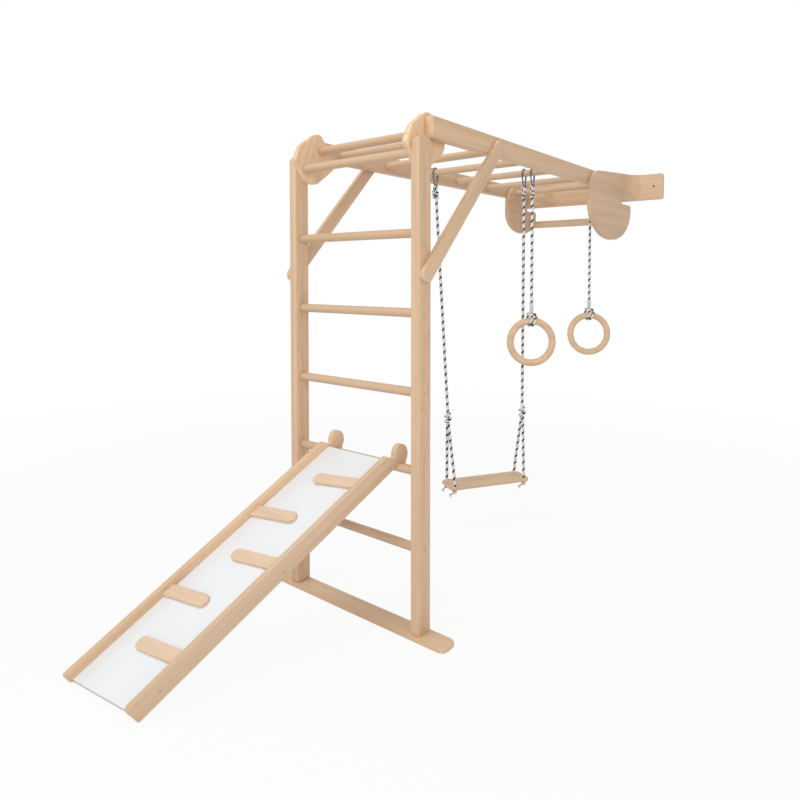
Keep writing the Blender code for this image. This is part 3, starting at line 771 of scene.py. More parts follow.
def drawn(name, points, closed=False):
    """A poly curve through points."""
    curve = bpy.data.curves.new(name, "CURVE")
    curve.dimensions = "3D"
    spline = curve.splines.new("POLY")
    spline.points.add(len(points) - 1)
    for slot, point in zip(spline.points, points):
        slot.co = (*point, 1.0)
    spline.use_cyclic_u = closed
    return in_scene(name, curve)


def rungs(words, places, reach, nodes, seat, tone_and_painted_light=0.0, radius=None):
    """Turned rungs at a row of places (Y, Z), as one piece on the frame."""
    sizes = bpy.context.scene.timber_sizes
    wood = birch(words + "_birch", X_AXIS, seat, tone_and_painted_light)
    middle = (reach[0] + reach[1]) / 2.0
    item = grown(dots(words + "_turned", [(middle, y, z) for y, z in places]), rung_tree,
                 "turned_rungs", radius=radius or sizes.rung_radius,
                 length=reach[1] - reach[0] - 2.0 * GAP, sides=sizes.rung_sides, material=wood)
    fit(item, "frame", wood, "birch", *nodes)


def rope_mesh(name, points, radius=None, closed=False, step=0.0014, sides=24, start=0.0):
    """A plaited rope as a plain mesh, with the rope's own material."""
    lay = bpy.context.scene.rope_lay
    item = grown(drawn(name, points, closed), rope_tree, "plaited_cover",
                 radius=radius or lay.diameter / 2.0 + lay.cover, sides=sides, step=step,
                 plait_step=lay.plait_step, plaits=lay.plaits, relief=lay.relief,
                 start=start, material=once(plaited_rope, "plaited_rope"))
    return settled(item, 60.0)


# Ropes, in the frame of the parts

def route(start, start_way, end, end_way):
    """Points on one smooth curve, with its way and pull at each end."""
    points = []
    for t in shares(max(2, round((end - start).length / ROPE_STEP))):
        points.append(start * (1.0 + 2.0 * t) * (1.0 - t) ** 2 + end * t * t * (3.0 - 2.0 * t)
                      + start_way * t * (1.0 - t) ** 2 + end_way * t * t * (t - 1.0))
    return points


def hung(place, end):
    """The straight run from under a hook down to a knot."""
    start = Vector((*place, HOOK_BOTTOM - ROPE_GAP))
    return route(start, end - start, end, end - start)


def eased(points, steps=5):
    """A smooth line through points."""
    line = []
    last = len(points) - 1
    for index in range(last):
        before = points[max(index - 1, 0)]
        start, end = points[index], points[index + 1]
        after = points[min(index + 2, last)]
        for t in shares(steps)[:-1]:
            line.append(0.5 * (2.0 * start + (end - before) * t
                               + (2.0 * before - 5.0 * start + 4.0 * end - after) * t * t
                               + (3.0 * start - before - 3.0 * end + after) * t ** 3))
    return line + [points[last]]


def on_seat(along, across, height):
    """A point by its place along and across the turned seat."""
    return SEAT_MIDDLE + SEAT_ALONG * along + SEAT_ACROSS * across + Z_AXIS * height


def on_ring(centre, turn, around, radius):
    """A point that far from the bent middle line of a ring, angles in degrees."""
    turn, around = radians(turn), radians(around)
    spoke = RING_LEVEL * sin(turn) + Z_AXIS * cos(turn)
    return (centre + spoke * (RING_MAJOR + radius * cos(around))
            + RING_FACING * radius * sin(around))


def overhand(centre, size, turn, steps=96):
    """The closed line of a tied overhand knot, standing in a rope that runs along Z."""
    points = []
    for index in range(steps):
        t = 2.0 * pi * index / steps
        knot = Vector((sin(t) + 2.0 * sin(2.0 * t), -sin(3.0 * t) * 1.1,
                       cos(t) - 2.0 * cos(2.0 * t)))
        point = Vector([a * b for a, b in zip(knot, size)]) / 3.0
        point.rotate(Euler((0.0, 0.0, turn)))
        points.append(centre + point)
    return points


def coil(middle, radius, height, turns, steps=12):
    """The line of a coil knot: out of the rope's middle, down round it, and back into it."""
    rise = Z_AXIS * (height / 2.0)
    points = [middle + rise * 1.25]
    for index in range(int(turns * steps) + 1):
        t = index / (turns * steps)
        angle = -2.0 * pi * turns * t
        points.append(middle + rise * (1.0 - 2.0 * t)
                      + Vector((cos(angle), sin(angle), 0.0)) * radius)
    return eased(points + [middle - rise * 1.25], 2)


def wraps(centre, radius, height, turns, steps=22):
    """Turns of rope around a rope that runs along Z."""
    points = []
    for index in range(int(turns * steps) + 1):
        t = index / steps
        points.append((centre[0] + radius * cos(2.0 * pi * t),
                       centre[1] + radius * sin(2.0 * pi * t),
                       centre[2] + height * (t / turns - 0.5)))
    return points


def rope_piece(node, body, points):
    """A rope along its route, standing for its CAD node."""
    item = assign(rope_mesh(node + "_plaited", points), body, "rope", node)
    sum((b - a).length for a, b in zip(points, points[1:]))


def rope_eye(name, place, body, bulk):
    """The eye around the hook's wire, and the turns of that thickness that close it."""
    x, y = place
    top = HOOK_LOW_CENTRE - HOOK_LOW_RADIUS
    half_wide, half_tall, drop, thick, steps = 0.0094, 0.0165, 0.0085, 0.0042, 40
    turns_drop, turns_tall, core, most_bulk = 0.046, 0.034, 0.0052, 0.0156
    loop = []
    for index in range(steps):
        t = 2.0 * pi * index / steps
        wide = half_wide * sin(t) * (1.0 - 0.25 * cos(t))
        loop.append((x + wide, y, top - drop + half_tall * cos(t)))
    eye = rope_mesh(name, loop, thick, True, sides=16)
    turns = wraps((x, y, top - turns_drop), core + bulk, turns_tall, most_bulk / bulk)
    bound = rope_mesh(name + "_turns", turns, bulk, sides=16)
    return assign(joined(name, [eye, bound]), body, "rope")


def tail(name, start, way, length, count=7):
    """Frayed yarns at a cut rope end, from fixed angles."""
    thick, droop = 0.0013, 0.006
    parts = []
    side = way.orthogonal().normalized()
    other = way.cross(side).normalized()
    for index in range(count):
        turn = GOLDEN_ANGLE * index
        spread = 0.0022 + 0.0007 * (index % 3)
        lean = (side * cos(turn) + other * sin(turn)) * spread
        reach = length * (0.82 + 0.06 * (index % 4))
        points = [start + lean * (0.7 + 1.3 * t * t) + way * reach * t - Z_AXIS * droop * t * t
                  for t in shares(4)]
        parts.append(rope_mesh("%s_%d" % (name, index), points, thick, step=0.003, sides=8,
                               start=0.009 * index))
    return parts


def snap_hook(name, node, place, body):
    """A steel snap hook: pear-shaped wire, sprung gate and its two pins."""
    x, y = place
    drop = MONKEY_HEIGHT - HOOK_LOW_CENTRE
    flank = atan((HOOK_TOP_RADIUS - HOOK_LOW_RADIUS) / drop) * 180.0 / pi
    path = (arc((y, MONKEY_HEIGHT), HOOK_TOP_RADIUS, -flank, 180.0 + flank, 30)
            + arc((y, HOOK_LOW_CENTRE), HOOK_LOW_RADIUS, 180.0 + flank, 360.0 - flank, 20))
    line = [Vector((x, a, b)) for a, b in path]
    wire = drawn(name, line, True)
    wire.data.bevel_depth = HOOK_WIRE
    wire.data.bevel_resolution = 6
    top = line[0].lerp(line[-1], 0.10)
    low = line[0].lerp(line[-1], 0.86)
    thick = HOOK_WIRE + 0.0006
    length = (low - top).length
    gate = lathe(name + "_gate", (
        (0.0, 0.0), (thick * 0.8, 0.0), (thick, 0.0008), (thick, length - 0.0008),
        (thick * 0.8, length), (0.0, length)), top, (low - top).normalized())
    half, shoulder, pin, tip = 0.0052, 0.0047, 0.0016, 0.0013
    pins = [lathe(name + "_pin", (
        (0.0, -half), (tip, -half), (pin, -shoulder), (pin, shoulder), (tip, half),
        (0.0, half)), top.lerp(low, share), X_AXIS, 16) for share in (0.06, 0.92)]
    item = joined(name, [settled(wire, 50.0)] + [settled(part, 40.0) for part in [gate] + pins])
    assign(covered(item, once(steel, "hook_steel", (0.20, 0.21, 0.23), 0.26)), body, "steel", node)


def hooked(kind, side, place, body, bulk=0.0030):
    """A snap hook on its rung and the rope's eye in it; gives the eye."""
    snap_hook("%s_snap_hook_%s" % (kind, side), "%s_hook_%s" % (kind, side), place, body)
    return rope_eye("%s_rope_eye_%s" % (kind, side), place, body, bulk)


# Boards and rungs of the frame

def between(inner=HALF_WIDTH):
    """Where rungs end in the sockets of two faces, each that far from the middle."""
    return -(inner + SOCKET_DEPTH), inner + SOCKET_DEPTH


def board(name, node, outline, edge, along, seat, tone_and_painted_light=0.0, drills=()):
    """An upright board of the frame, as thick as its CAD node, with its sockets drilled."""
    low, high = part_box(node)
    item = ease(plate(name, outline, "X", low.x, high.x), *edge)
    for drill in drills:
        carve(item, drill)
    timber(item, "frame", node, along, seat, tone_and_painted_light)


def numbered(word, places):
    """The names of the CAD nodes at a row of places."""
    return ["%s_%d" % (word, count) for count, place in enumerate(places, 1)]


# Operators

class PieceOperator:
    bl_options = {"REGISTER", "UNDO"}


class WALLBARS_OT_camera(PieceOperator, bpy.types.Operator):
    """Put the camera at the photograph's place"""
    bl_idname = "wallbars.camera"
    bl_label = "Camera"

    stand = (1.5643, -1.6910, 1.2393)
    down = radians(2.130)
    turn = radians(38.669)
    shift = -0.12622

    def execute(self, context):
        data = bpy.data.cameras.new("photo_camera")
        data.sensor_width = 36.0
        data.lens = context.scene.studio_light.lens
        data.shift_y = self.shift
        data.clip_start = 0.05
        camera = in_scene("photo_camera", data)
        camera.location = self.stand
        camera.rotation_euler = (pi / 2.0 - self.down, 0.0, self.turn)
        context.scene.camera = camera
        return {"FINISHED"}


class WALLBARS_OT_swing(PieceOperator, bpy.types.Operator):
    """Hang the swing: hooks, ropes, split knots, legs, seat and stopper knots"""
    bl_idname = "wallbars.swing"
    bl_label = "Swing"

    split_coil = (0.0112, 0.040, 1.6)
    split_thick = 0.0076
    stopper_size = (0.0086, 0.0056, 0.0072)
    stopper_thick = 0.0050
    tail_length = 0.027
    seat_corner = 0.030
    seat_ease = 0.0038
    bore_radius = 0.0066

    def execute(self, context):
        for side, end, bulk in (("left", -1.0, 0.0060), ("right", 1.0, 0.0030)):
            place = SWING_PLACES[side]
            eye = hooked("swing", side, place, "swing", bulk)
            knot = on_seat(end * SWING_KNOT_REACH, 0.0, SWING_KNOT_HEIGHT)
            split = rope_mesh("swing_split_knot_" + side, coil(knot, *self.split_coil),
                              self.split_thick)
            assign(split, "swing", "rope", "swing_knot_" + side)
            rope_piece("swing_rope_" + side, "swing",
                       hung(place, knot + Z_AXIS * (SWING_KNOT_TALL + ROPE_GAP)))
            for edge, label in ((-1.0, "front"), (1.0, "back")):
                self.leg("%s_%s" % (side, label), end, edge, knot)
        self.seat()
        return {"FINISHED"}

    def leg(self, name, end, edge, knot):
        hole = on_seat(end * SEAT_HOLES[0], edge * SEAT_HOLES[1], SEAT_TOP)
        start = knot + SEAT_ACROSS * edge * LEG_SPREAD
        start.z -= SWING_KNOT_TALL + LEG_BELOW_KNOT
        line = route(start, hole - start, hole, Z_AXIS * -LEG_BEND)
        line.append(hole - Z_AXIS * (SEAT_TOP - SEAT_BOTTOM + LEG_BELOW_SEAT))
        under = line[-1] - Z_AXIS * SEAT_KNOT_DROP
        tie = rope_mesh("stopper_" + name,
                        overhand(under, self.stopper_size, RING_TURN + 0.7 * edge),
                        self.stopper_thick, True, sides=18)
        away = (SEAT_ALONG * -0.55 + SEAT_ACROSS * -0.25 * edge
                + Vector((-0.25, -0.1, -0.55))).normalized()
        yarns = tail("tail_" + name, under + away * 0.006, away, self.tail_length)
        stopper = joined("seat_stopper_knot_" + name, [tie] + yarns)
        assign(stopper, "swing", "rope", "seat_knot_" + name)
        rope_piece("swing_leg_" + name, "swing", line)

    def seat(self):
        half = Vector(SEAT_HALF)
        outline = [on_seat(a, b, 0.0).xy for a, b in oblong(-half, half, self.seat_corner)]
        seat = ease(plate("swing_seat_board", outline, "Z", SEAT_BOTTOM, SEAT_TOP),
                    self.seat_ease, 4)
        bores = []
        for end, edge in ((-1.0, -1.0), (-1.0, 1.0), (1.0, -1.0), (1.0, 1.0)):
            spot = on_seat(end * SEAT_HOLES[0], edge * SEAT_HOLES[1], 0.0)
            bores.append(plate("seat_bore", arc(spot, self.bore_radius, 0.0, 345.0, 23), "Z",
                               SEAT_BOTTOM - 0.01, SEAT_TOP + 0.01))
            carve(seat, bores[-1])
        timber(seat, "swing", "swing_seat", SEAT_ALONG, (0.3, 0.02, -0.17))
        remove(*bores)


class WALLBARS_OT_rings(PieceOperator, bpy.types.Operator):
    """Hang the two wooden rings: hooks, ropes, sleeves, rings and their lashings"""
    bl_idname = "wallbars.rings"
    bl_label = "Rings"

    steps_round, sides = 120, 36
    wound = RING_MINOR + 0.0060
    bore, lip = 0.0065, 0.0006

    def execute(self, context):
        for side, place in RING_PLACES.items():
            body = "ring_%s_set" % side
            centre = Vector((*place, RING_HEIGHT))
            eye = hooked("ring", side, place, body)
            self.ring(side, centre, body)
            hitch = self.hitch(side, centre, body)
            sleeve = self.sleeve(side, place, body)
            end = centre + Z_AXIS * (RING_MAJOR + LASHING_RADIUS + ROPE_GAP)
            rope_piece("ring_rope_" + side, body, hung(place, end))
        return {"FINISHED"}

    def ring(self, side, centre, body):
        work = bmesh.new()
        rows = [[work.verts.new(on_ring(centre, 360.0 * index / self.steps_round,
                                        360.0 * k / self.sides, RING_MINOR))
                 for k in range(self.sides)] for index in range(self.steps_round)]
        for first, second in zip(rows, rows[1:] + rows[:1]):
            skin(work, first, second)
        timber(linked("ring_%s_turned" % side, work), body, "ring_" + side, RING_LEVEL,
               (0.7, 0.21, 0.05 * len(side)), 0.06, 0.8)

    def hitch(self, side, centre, body):
        """One rope end wound twice round the ring, slanting in front, and tied above it."""
        def at(turn, around, radius=self.wound):
            return on_ring(centre, turn, around, radius)

        def above(level, facing, height):
            return (centre + RING_LEVEL * level + RING_FACING * facing
                    + Z_AXIS * (RING_MAJOR + height))

        def across(turn, slant):
            return [at(turn + slant * t, 180.0 - 180.0 * t) for t in shares(5)[:-1]]

        points = [above(0.0, 0.0, 0.046), above(-0.004, -0.004, 0.036), at(-7.0, 330.0, 0.026)]
        points += [at(-8.5, angle) for angle in (290.0, 255.0, 220.0)] + across(-8.5, 10.5)
        points += [at(2.0, angle) for angle in (360.0, 325.0, 290.0, 255.0, 220.0)]
        points += across(2.0, 10.0) + [at(11.0, 350.0, 0.025)]
        points += [above(*spot) for spot in (
            (0.012, -0.011, 0.030), (-0.004, -0.014, 0.034), (-0.017, -0.004, 0.034),
            (-0.014, 0.010, 0.031), (0.002, 0.014, 0.031), (0.016, 0.008, 0.034),
            (0.020, -0.002, 0.030))]
        rope = rope_mesh("ring_hitch_" + side, eased(points), 0.0060)
        return assign(rope, body, "rope", "ring_lashing_" + side)

    def sleeve(self, side, place, body):
        low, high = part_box("ring_sleeve_" + side)
        inner, lip = self.bore, self.lip
        outer = (high.x - low.x) / 2.0
        item = lathe("ring_sleeve_%s_clear" % side, (
            (inner, low.z + lip), (inner + lip, low.z), (outer - lip, low.z),
            (outer, low.z + lip), (outer * 0.985, (low.z + high.z) / 2.0),
            (outer, high.z - lip), (outer - lip, high.z), (inner + lip, high.z),
            (inner, high.z - lip), (inner, low.z + lip)), Vector((*place, 0.0)), Z_AXIS, 40)
        work = bmesh.new()
        work.from_mesh(item.data)
        bmesh.ops.remove_doubles(work, verts=work.verts, dist=1e-6)
        bmesh.ops.recalc_face_normals(work, faces=work.faces)
        work.to_mesh(item.data)
        work.free()
        return fit(item, body, once(clear_plastic, "clear_sleeve_plastic"), "clear_sleeve",
                   "ring_sleeve_" + side)


class WALLBARS_OT_ladder(PieceOperator, bpy.types.Operator):
    """Build the floor rail, the two posts and the five ladder rungs"""
    bl_idname = "wallbars.ladder"
    bl_label = "Ladder"

    rail_corner = 0.030
    chamfer_from = 1.694
    chamfer_to = (0.018, -0.010)
    chamfer_round = (0.010, 0.020)

    def execute(self, context):
        sizes = context.scene.timber_sizes
        low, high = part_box("floor_rail")
        rail = plate("floor_rail_board", oblong(low.xy, high.xy, self.rail_corner), "Z", low.z,
                     high.z)
        timber(ease(rail, sizes.thin_ease), "frame", "floor_rail", X_AXIS, (0.1, 0.3, 0.02))
        places = [(0.0, z) for z in LADDER_RUNGS]
        back, front = self.chamfer_to
        low_round, high_round = self.chamfer_round
        drill = rods("ladder_drill", places, between())
        for side, seat in (("left", (0.05, 0.11, 0.4)), ("right", (0.3, 0.02, 0.9))):
            low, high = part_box(side + "_post")
            outline = rounded((
                (low.y, low.z, 0.0), (high.y, low.z, 0.0),
                (high.y, self.chamfer_from, low_round), (back, high.z, high_round),
                (front, high.z, high_round), (low.y, self.chamfer_from, low_round)), 8)
            board(side + "_post_timber", side + "_post", outline, (sizes.ease,), Z_AXIS, seat,
                  drills=(drill,))
        remove(drill)
        # Painted shade: the rungs' pale colour is darkened by 14 percent to stand for the shading
        # round their turned faces.
        rungs("ladder_rungs", places, between(), numbered("ladder_rung", places),
              (0.2, 0.0, 0.1), -0.14)
        return {"FINISHED"}


class WALLBARS_OT_cheeks(PieceOperator, bpy.types.Operator):
    """Build the two shaped cheek plates and the two rungs between them"""
    bl_idname = "wallbars.cheeks"
    bl_label = "Cheek plates"

    outline = (
        (-0.053, 1.687, 0.030), (-0.027, 1.744, 0.060), (0.048, 1.798, 0.050),
        (0.082, 1.803, 0.030), (0.108, 1.773, 0.060), (0.172, 1.704, 0.020),
        (0.154, 1.671, 0.040), (0.060, 1.602, 0.030), (0.006, 1.602, 0.030),
        (-0.045, 1.672, 0.030),
    )

    def execute(self, context):
        sizes = context.scene.timber_sizes
        places = (FRONT_RUNG, SHOULDER_RUNG)
        reach = between(abs(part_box("right_cheek_plate")[0].x))
        drill = rods("cheek_drill", places, reach)
        for side, seat in (("left", (0.1, 0.24, 0.1)), ("right", (0.6, 0.07, 0.3))):
            # Painted light: the cheeks' pale colour is raised by 22 percent to brighten faces that
            # lie in shade beside the beams and posts.
            board(side + "_cheek_shaped", side + "_cheek_plate", rounded(self.outline, 10),
                  (sizes.thin_ease,), Vector((0.0, 0.35, 1.0)), seat, 0.22, (drill,))
        remove(drill)
        # Painted shade: the cheek rungs' pale colour is darkened by 12 percent, as on the ladder
        # rungs.
        rungs("cheek_rungs", places, reach, ("front_top_rung", "shoulder_rung"),
              (0.9, 0.03, 0.2), -0.12)
        return {"FINISHED"}


class WALLBARS_OT_overhead(PieceOperator, bpy.types.Operator):
    """Build the two overhead beams and the six rungs between them"""
    bl_idname = "wallbars.overhead"
    bl_label = "Overhead ladder"

    def execute(self, context):
        sizes = context.scene.timber_sizes
        places = [(y, MONKEY_HEIGHT) for y in MONKEY_RUNGS]
        drill = rods("overhead_drill", places, between())
        for side, seat in (("left", (0.4, 0.12, 0.02)), ("right", (0.0, 0.31, 0.14))):
            low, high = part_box(side + "_beam")
            board(side + "_beam_timber", side + "_beam", oblong(low.yz, high.yz),
                  (sizes.ease,), Y_AXIS, seat, drills=(drill,))
        remove(drill)
        # Painted shade: the overhead rungs' pale colour is darkened by 8 percent, as on the ladder
        # rungs.
        rungs("overhead_rungs", places, between(), numbered("monkey_rung", places),
              (0.5, 0.3, 0.0), -0.08)
        return {"FINISHED"}


class WALLBARS_OT_braces(PieceOperator, bpy.types.Operator):
    """Build the two slanting braces with round ends"""
    bl_idname = "wallbars.braces"
    bl_label = "Braces"

    half_width = 0.027

    def execute(self, context):
        low, high = (Vector(end) for end in BRACE_ENDS)
        run = high - low
        lean = atan(run.y / run.x) * 180.0 / pi
        outline = (arc(high, self.half_width, lean - 90.0, lean + 90.0, 28)
                   + arc(low, self.half_width, lean + 90.0, lean + 270.0, 28))
        for side, seat in (("left", (0.0, 0.05, 0.3)), ("right", (0.7, 0.22, 0.1))):
            board(side + "_brace_batten", side + "_brace", outline,
                  (context.scene.timber_sizes.thin_ease,), Vector((0.0, run.x, run.y)), seat,
                  0.01)
        return {"FINISHED"}


class WALLBARS_OT_wall_end(PieceOperator, bpy.types.Operator):
    """Build the wall rail, the two hook plates and the low pull-up bar"""
    bl_idname = "wallbars.wall_end"
    bl_label = "Wall rail and hook plates"

    step = (0.100, 0.232)
    cove_ends = (-0.400, 0.440)
    rail_corner = 0.016
    slot_top = 1.667
    lobe = 1.640
    lobe_corner = 0.015
    front_corner = 0.120
    drop_centre = 1.611

    def execute(self, context):
        sizes = context.scene.timber_sizes
        self.rail(sizes)
        self.plates(sizes)
        return {"FINISHED"}

    def rail(self, sizes):
        low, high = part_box("wall_rail")

        def cove(start, end):
            return arc((end, RAIL_FRONT), (start - end, RAIL_THIN - RAIL_FRONT), 0.0, 90.0, 24)

        inner = [(self.step[0] + (self.step[1] - self.step[0]) * t,
                  RAIL_THIN + (RAIL_FRONT - RAIL_THIN) * (t * t * (3.0 - 2.0 * t)))
                 for t in shares(22)]
        outline = ([(low.x, RAIL_THIN)] + cove(-OUTER_FACE, self.cove_ends[0])[::-1]
                   + [(-x, y) for x, y in reversed(inner)] + inner
                   + cove(OUTER_FACE + GAP + PLATE_THICK, self.cove_ends[1])
                   + [(high.x, RAIL_THIN), (high.x, high.y), (low.x, high.y)])
        trim = plate("rail_trim", oblong(low.xz, high.xz, self.rail_corner, 10), "Y",
                     RAIL_FRONT - 0.01, WALL + 0.01)
        rail = plate("wall_rail_shaped", outline, "Z", low.z - 0.01, high.z + 0.01)
        timber(ease(carve(rail, trim, "INTERSECT"), sizes.ease), "frame", "wall_rail", X_AXIS,
               (0.15, 0.4, 0.33))
        remove(trim)

    def plates(self, sizes):
        reach = (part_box("left_hook_plate")[0].x + PLATE_THICK - SOCKET_DEPTH,
                 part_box("right_hook_plate")[0].x + SOCKET_DEPTH)
        bar_drill = rods("bar_drill", (LOW_BAR,), reach, LOW_BAR_RADIUS)
        rung_drill = rods("rung_drill", ((MONKEY_RUNGS[-1], MONKEY_HEIGHT),),
                          (between()[0], 0.0))
        for side, slot, seat, drills in (
                ("left", 1.855, (0.2, 0.3, 0.25), (bar_drill, rung_drill)),
                ("right", 1.815, (0.8, 0.1, 0.15), (bar_drill,))):
            name = side + "_hook_plate"
            board(name + "_shaped", name, self.outline(slot, *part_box(name)),
                  (sizes.ease, 4, 35.0), Y_AXIS, seat, -0.01, drills)
        remove(bar_drill, rung_drill)
        rungs("pull_up_bar", (LOW_BAR,), reach, ("pull_up_bar",), (0.33, 0.2, 0.41),
              radius=LOW_BAR_RADIUS)

    def outline(self, slot, low, high):
        """A hook plate: round in front and below, with a slot and a raised lobe at the wall."""
        front, back = self.front_corner, self.lobe_corner
        return (
            [(slot, self.lobe), (slot, self.slot_top), (BEAM_BACK, self.slot_top),
             (BEAM_BACK, high.z)]
            + arc((low.y + front, BEAM_TOP - front), front, 90.0, 180.0, 24)
            + arc(((low.y + high.y) / 2.0, self.drop_centre),
                  ((high.y - low.y) / 2.0, self.drop_centre - low.z), 180.0, 360.0, 64)
            + arc((high.y - back, self.lobe - back), back, 0.0, 90.0, 10))


def on_slope(along, height):
    """Y and Z of a point above the slide board's top face."""
    return (along * cos(SLOPE_ANGLE) - height * sin(SLOPE_ANGLE),
            BOARD_SURFACE + along * sin(SLOPE_ANGLE) + height * cos(SLOPE_ANGLE))


class WALLBARS_OT_slide(PieceOperator, bpy.types.Operator):
    """Build the slide: hooked rails, white board with its edges, and five cleats"""
    bl_idname = "wallbars.slide"
    bl_label = "Slide"

    notch_radius = 0.0165
    hook_centre = (0.003, 0.616)
    hook_half = (0.025, 0.036)
    throat = (0.0205, 0.5795)
    neck = ((-0.0290, 0.6045), (-0.0390, 0.6085), (-0.0505, 0.6143))
    neck_end = -0.0530
    toe_round, heel_round = 0.020, 0.012
    board_thick = 0.008
    band_wide = 0.0022
    board_ease = 0.0006
    cleat_half = 0.021
    cleat_thick = 0.012
    cleat_ease = 0.0030
    cleat_places = (-0.718, -0.153)

    def execute(self, context):
        sizes = context.scene.timber_sizes
        # Painted shade: the right rail's pale colour is darkened, most in red, so that its outer
        # face reads as in shade.
        for side, low, toe, seat, tone_and_painted_light in (
                ("left", SLIDE_LEFT, SLIDE_TOES[0], (0.0, 0.3, 0.1), 0.04),
                ("right", SLIDE_RIGHT - SLIDE_RAIL_THICK, SLIDE_TOES[1], (0.5, 0.1, 0.32),
                 (-0.07, -0.04, 0.0))):
            name = "slide_%s_rail" % side
            rail = plate(name + "_shaped", self.rail_outline(toe), "X", low,
                         low + SLIDE_RAIL_THICK, SKEW)
            timber(ease(rail, sizes.thin_ease, 3, 40.0), "slide", name,
                   Vector((SKEW, 1.0, SLOPE)), seat, tone_and_painted_light)
        self.board()
        first, last = self.cleat_places
        for index in range(5):
            self.cleat(index, first + (last - first) * index / 4.0)
        return {"FINISHED"}

    def rail_outline(self, toe):
        """From the toe up the lower edge, round the hook over its rung, and down the top edge."""
        rise = (SLIDE_RAIL_TOP + SLOPE * toe) / (cos(SLOPE_ANGLE) + SLOPE * sin(SLOPE_ANGLE))
        floor_touch = -(SLIDE_RAIL_TOP - SLIDE_RAIL_DROP) / SLOPE
        hook = (arc((0.0, LADDER_RUNGS[1]), self.notch_radius, 165.0, 30.0, 22) + [self.throat]
                + arc(self.hook_centre, self.hook_half, -40.0, 192.0, 48) + [*self.neck]
                + [(self.neck_end, SLIDE_RAIL_TOP + SLOPE * self.neck_end)])
        return rounded([
            (toe - sin(SLOPE_ANGLE) * rise, cos(SLOPE_ANGLE) * rise, self.toe_round),
            (toe, 0.0, self.heel_round), (floor_touch, 0.0, self.heel_round)]
            + [(y, z, 0.0) for y, z in hook])

    def board(self):
        """The white board and the grey bands at its two ends, the low one slightly turned."""
        band = self.band_wide
        turn = BOARD_LOW_TURN * (BOARD_RIGHT - BOARD_LEFT + 2.0 * GAP)
        white = once(white_laminate, "white_laminate")
        grey = once(edge_band, "grey_edge")
        for name, start, stop, material, nodes in (
                ("white", (BOARD_LOW + band, turn), (BOARD_HIGH - band, 0.0), white,
                 ("slide_board",)),
                ("edge_low", (BOARD_LOW, turn), (BOARD_LOW + band, turn), grey, ()),
                ("edge_high", (BOARD_HIGH - band, 0.0), (BOARD_HIGH, 0.0), grey, ())):
            loops = []
            for x, share in ((BOARD_LEFT, 0.0), (BOARD_RIGHT, 1.0)):
                low, high = (at + slant * share for at, slant in (start, stop))
                corners = ((low, -self.board_thick), (high, -self.board_thick), (high, 0.0),
                           (low, 0.0))
                loops.append([(x + SKEW * y, y, z) for y, z in (on_slope(*c) for c in corners)])
            item = ease(stack("slide_board_" + name, loops), self.board_ease, 2, 40.0)
            fit(item, "slide", material, "white_board", *nodes)

    def cleat(self, index, y_centre):
        """A batten across the board: square at its rail, half round at its free end."""
        half = self.cleat_half
        along = y_centre / cos(SLOPE_ANGLE)
        root, toward, end = ((BOARD_RIGHT, 1.0, -0.004), (BOARD_LEFT, -1.0, 0.090))[index % 2]
        tip = end + SKEW * y_centre
        middle = CLEAT_MIDDLE + SKEW * y_centre
        square = 1.0 - SKEW * cos(SLOPE_ANGLE) * CLEAT_TURN
        loops = []
        for height in (GAP, GAP + self.cleat_thick):
            def on_board(x, offset):
                return (x, *on_slope(along + offset + CLEAT_TURN * (x - middle), height))

            loop = []
            for offset in (-half, half):
                y_plain = on_slope(along + offset - CLEAT_TURN * middle, height)[0]
                loop.append(on_board((root + SKEW * y_plain) / square, offset))
            for step in range(25):
                angle = pi / 2.0 - pi * step / 24.0
                loop.append(on_board(tip + toward * half * (1.0 - cos(angle)), half * sin(angle)))
            loops.append(loop)
        name = "slide_cleat_%d" % (index + 1)
        # Painted reflection: the cleats' pale colour is raised, most in blue, to stand for the
        # pale glare on their lacquered tops.
        timber(ease(stack(name + "_batten", loops), self.cleat_ease, 4, 40.0), "slide", name,
               X_AXIS, (0.2 * index, 0.05 + 0.03 * index, 0.2), (0.05, 0.10, 0.20), 0.6)


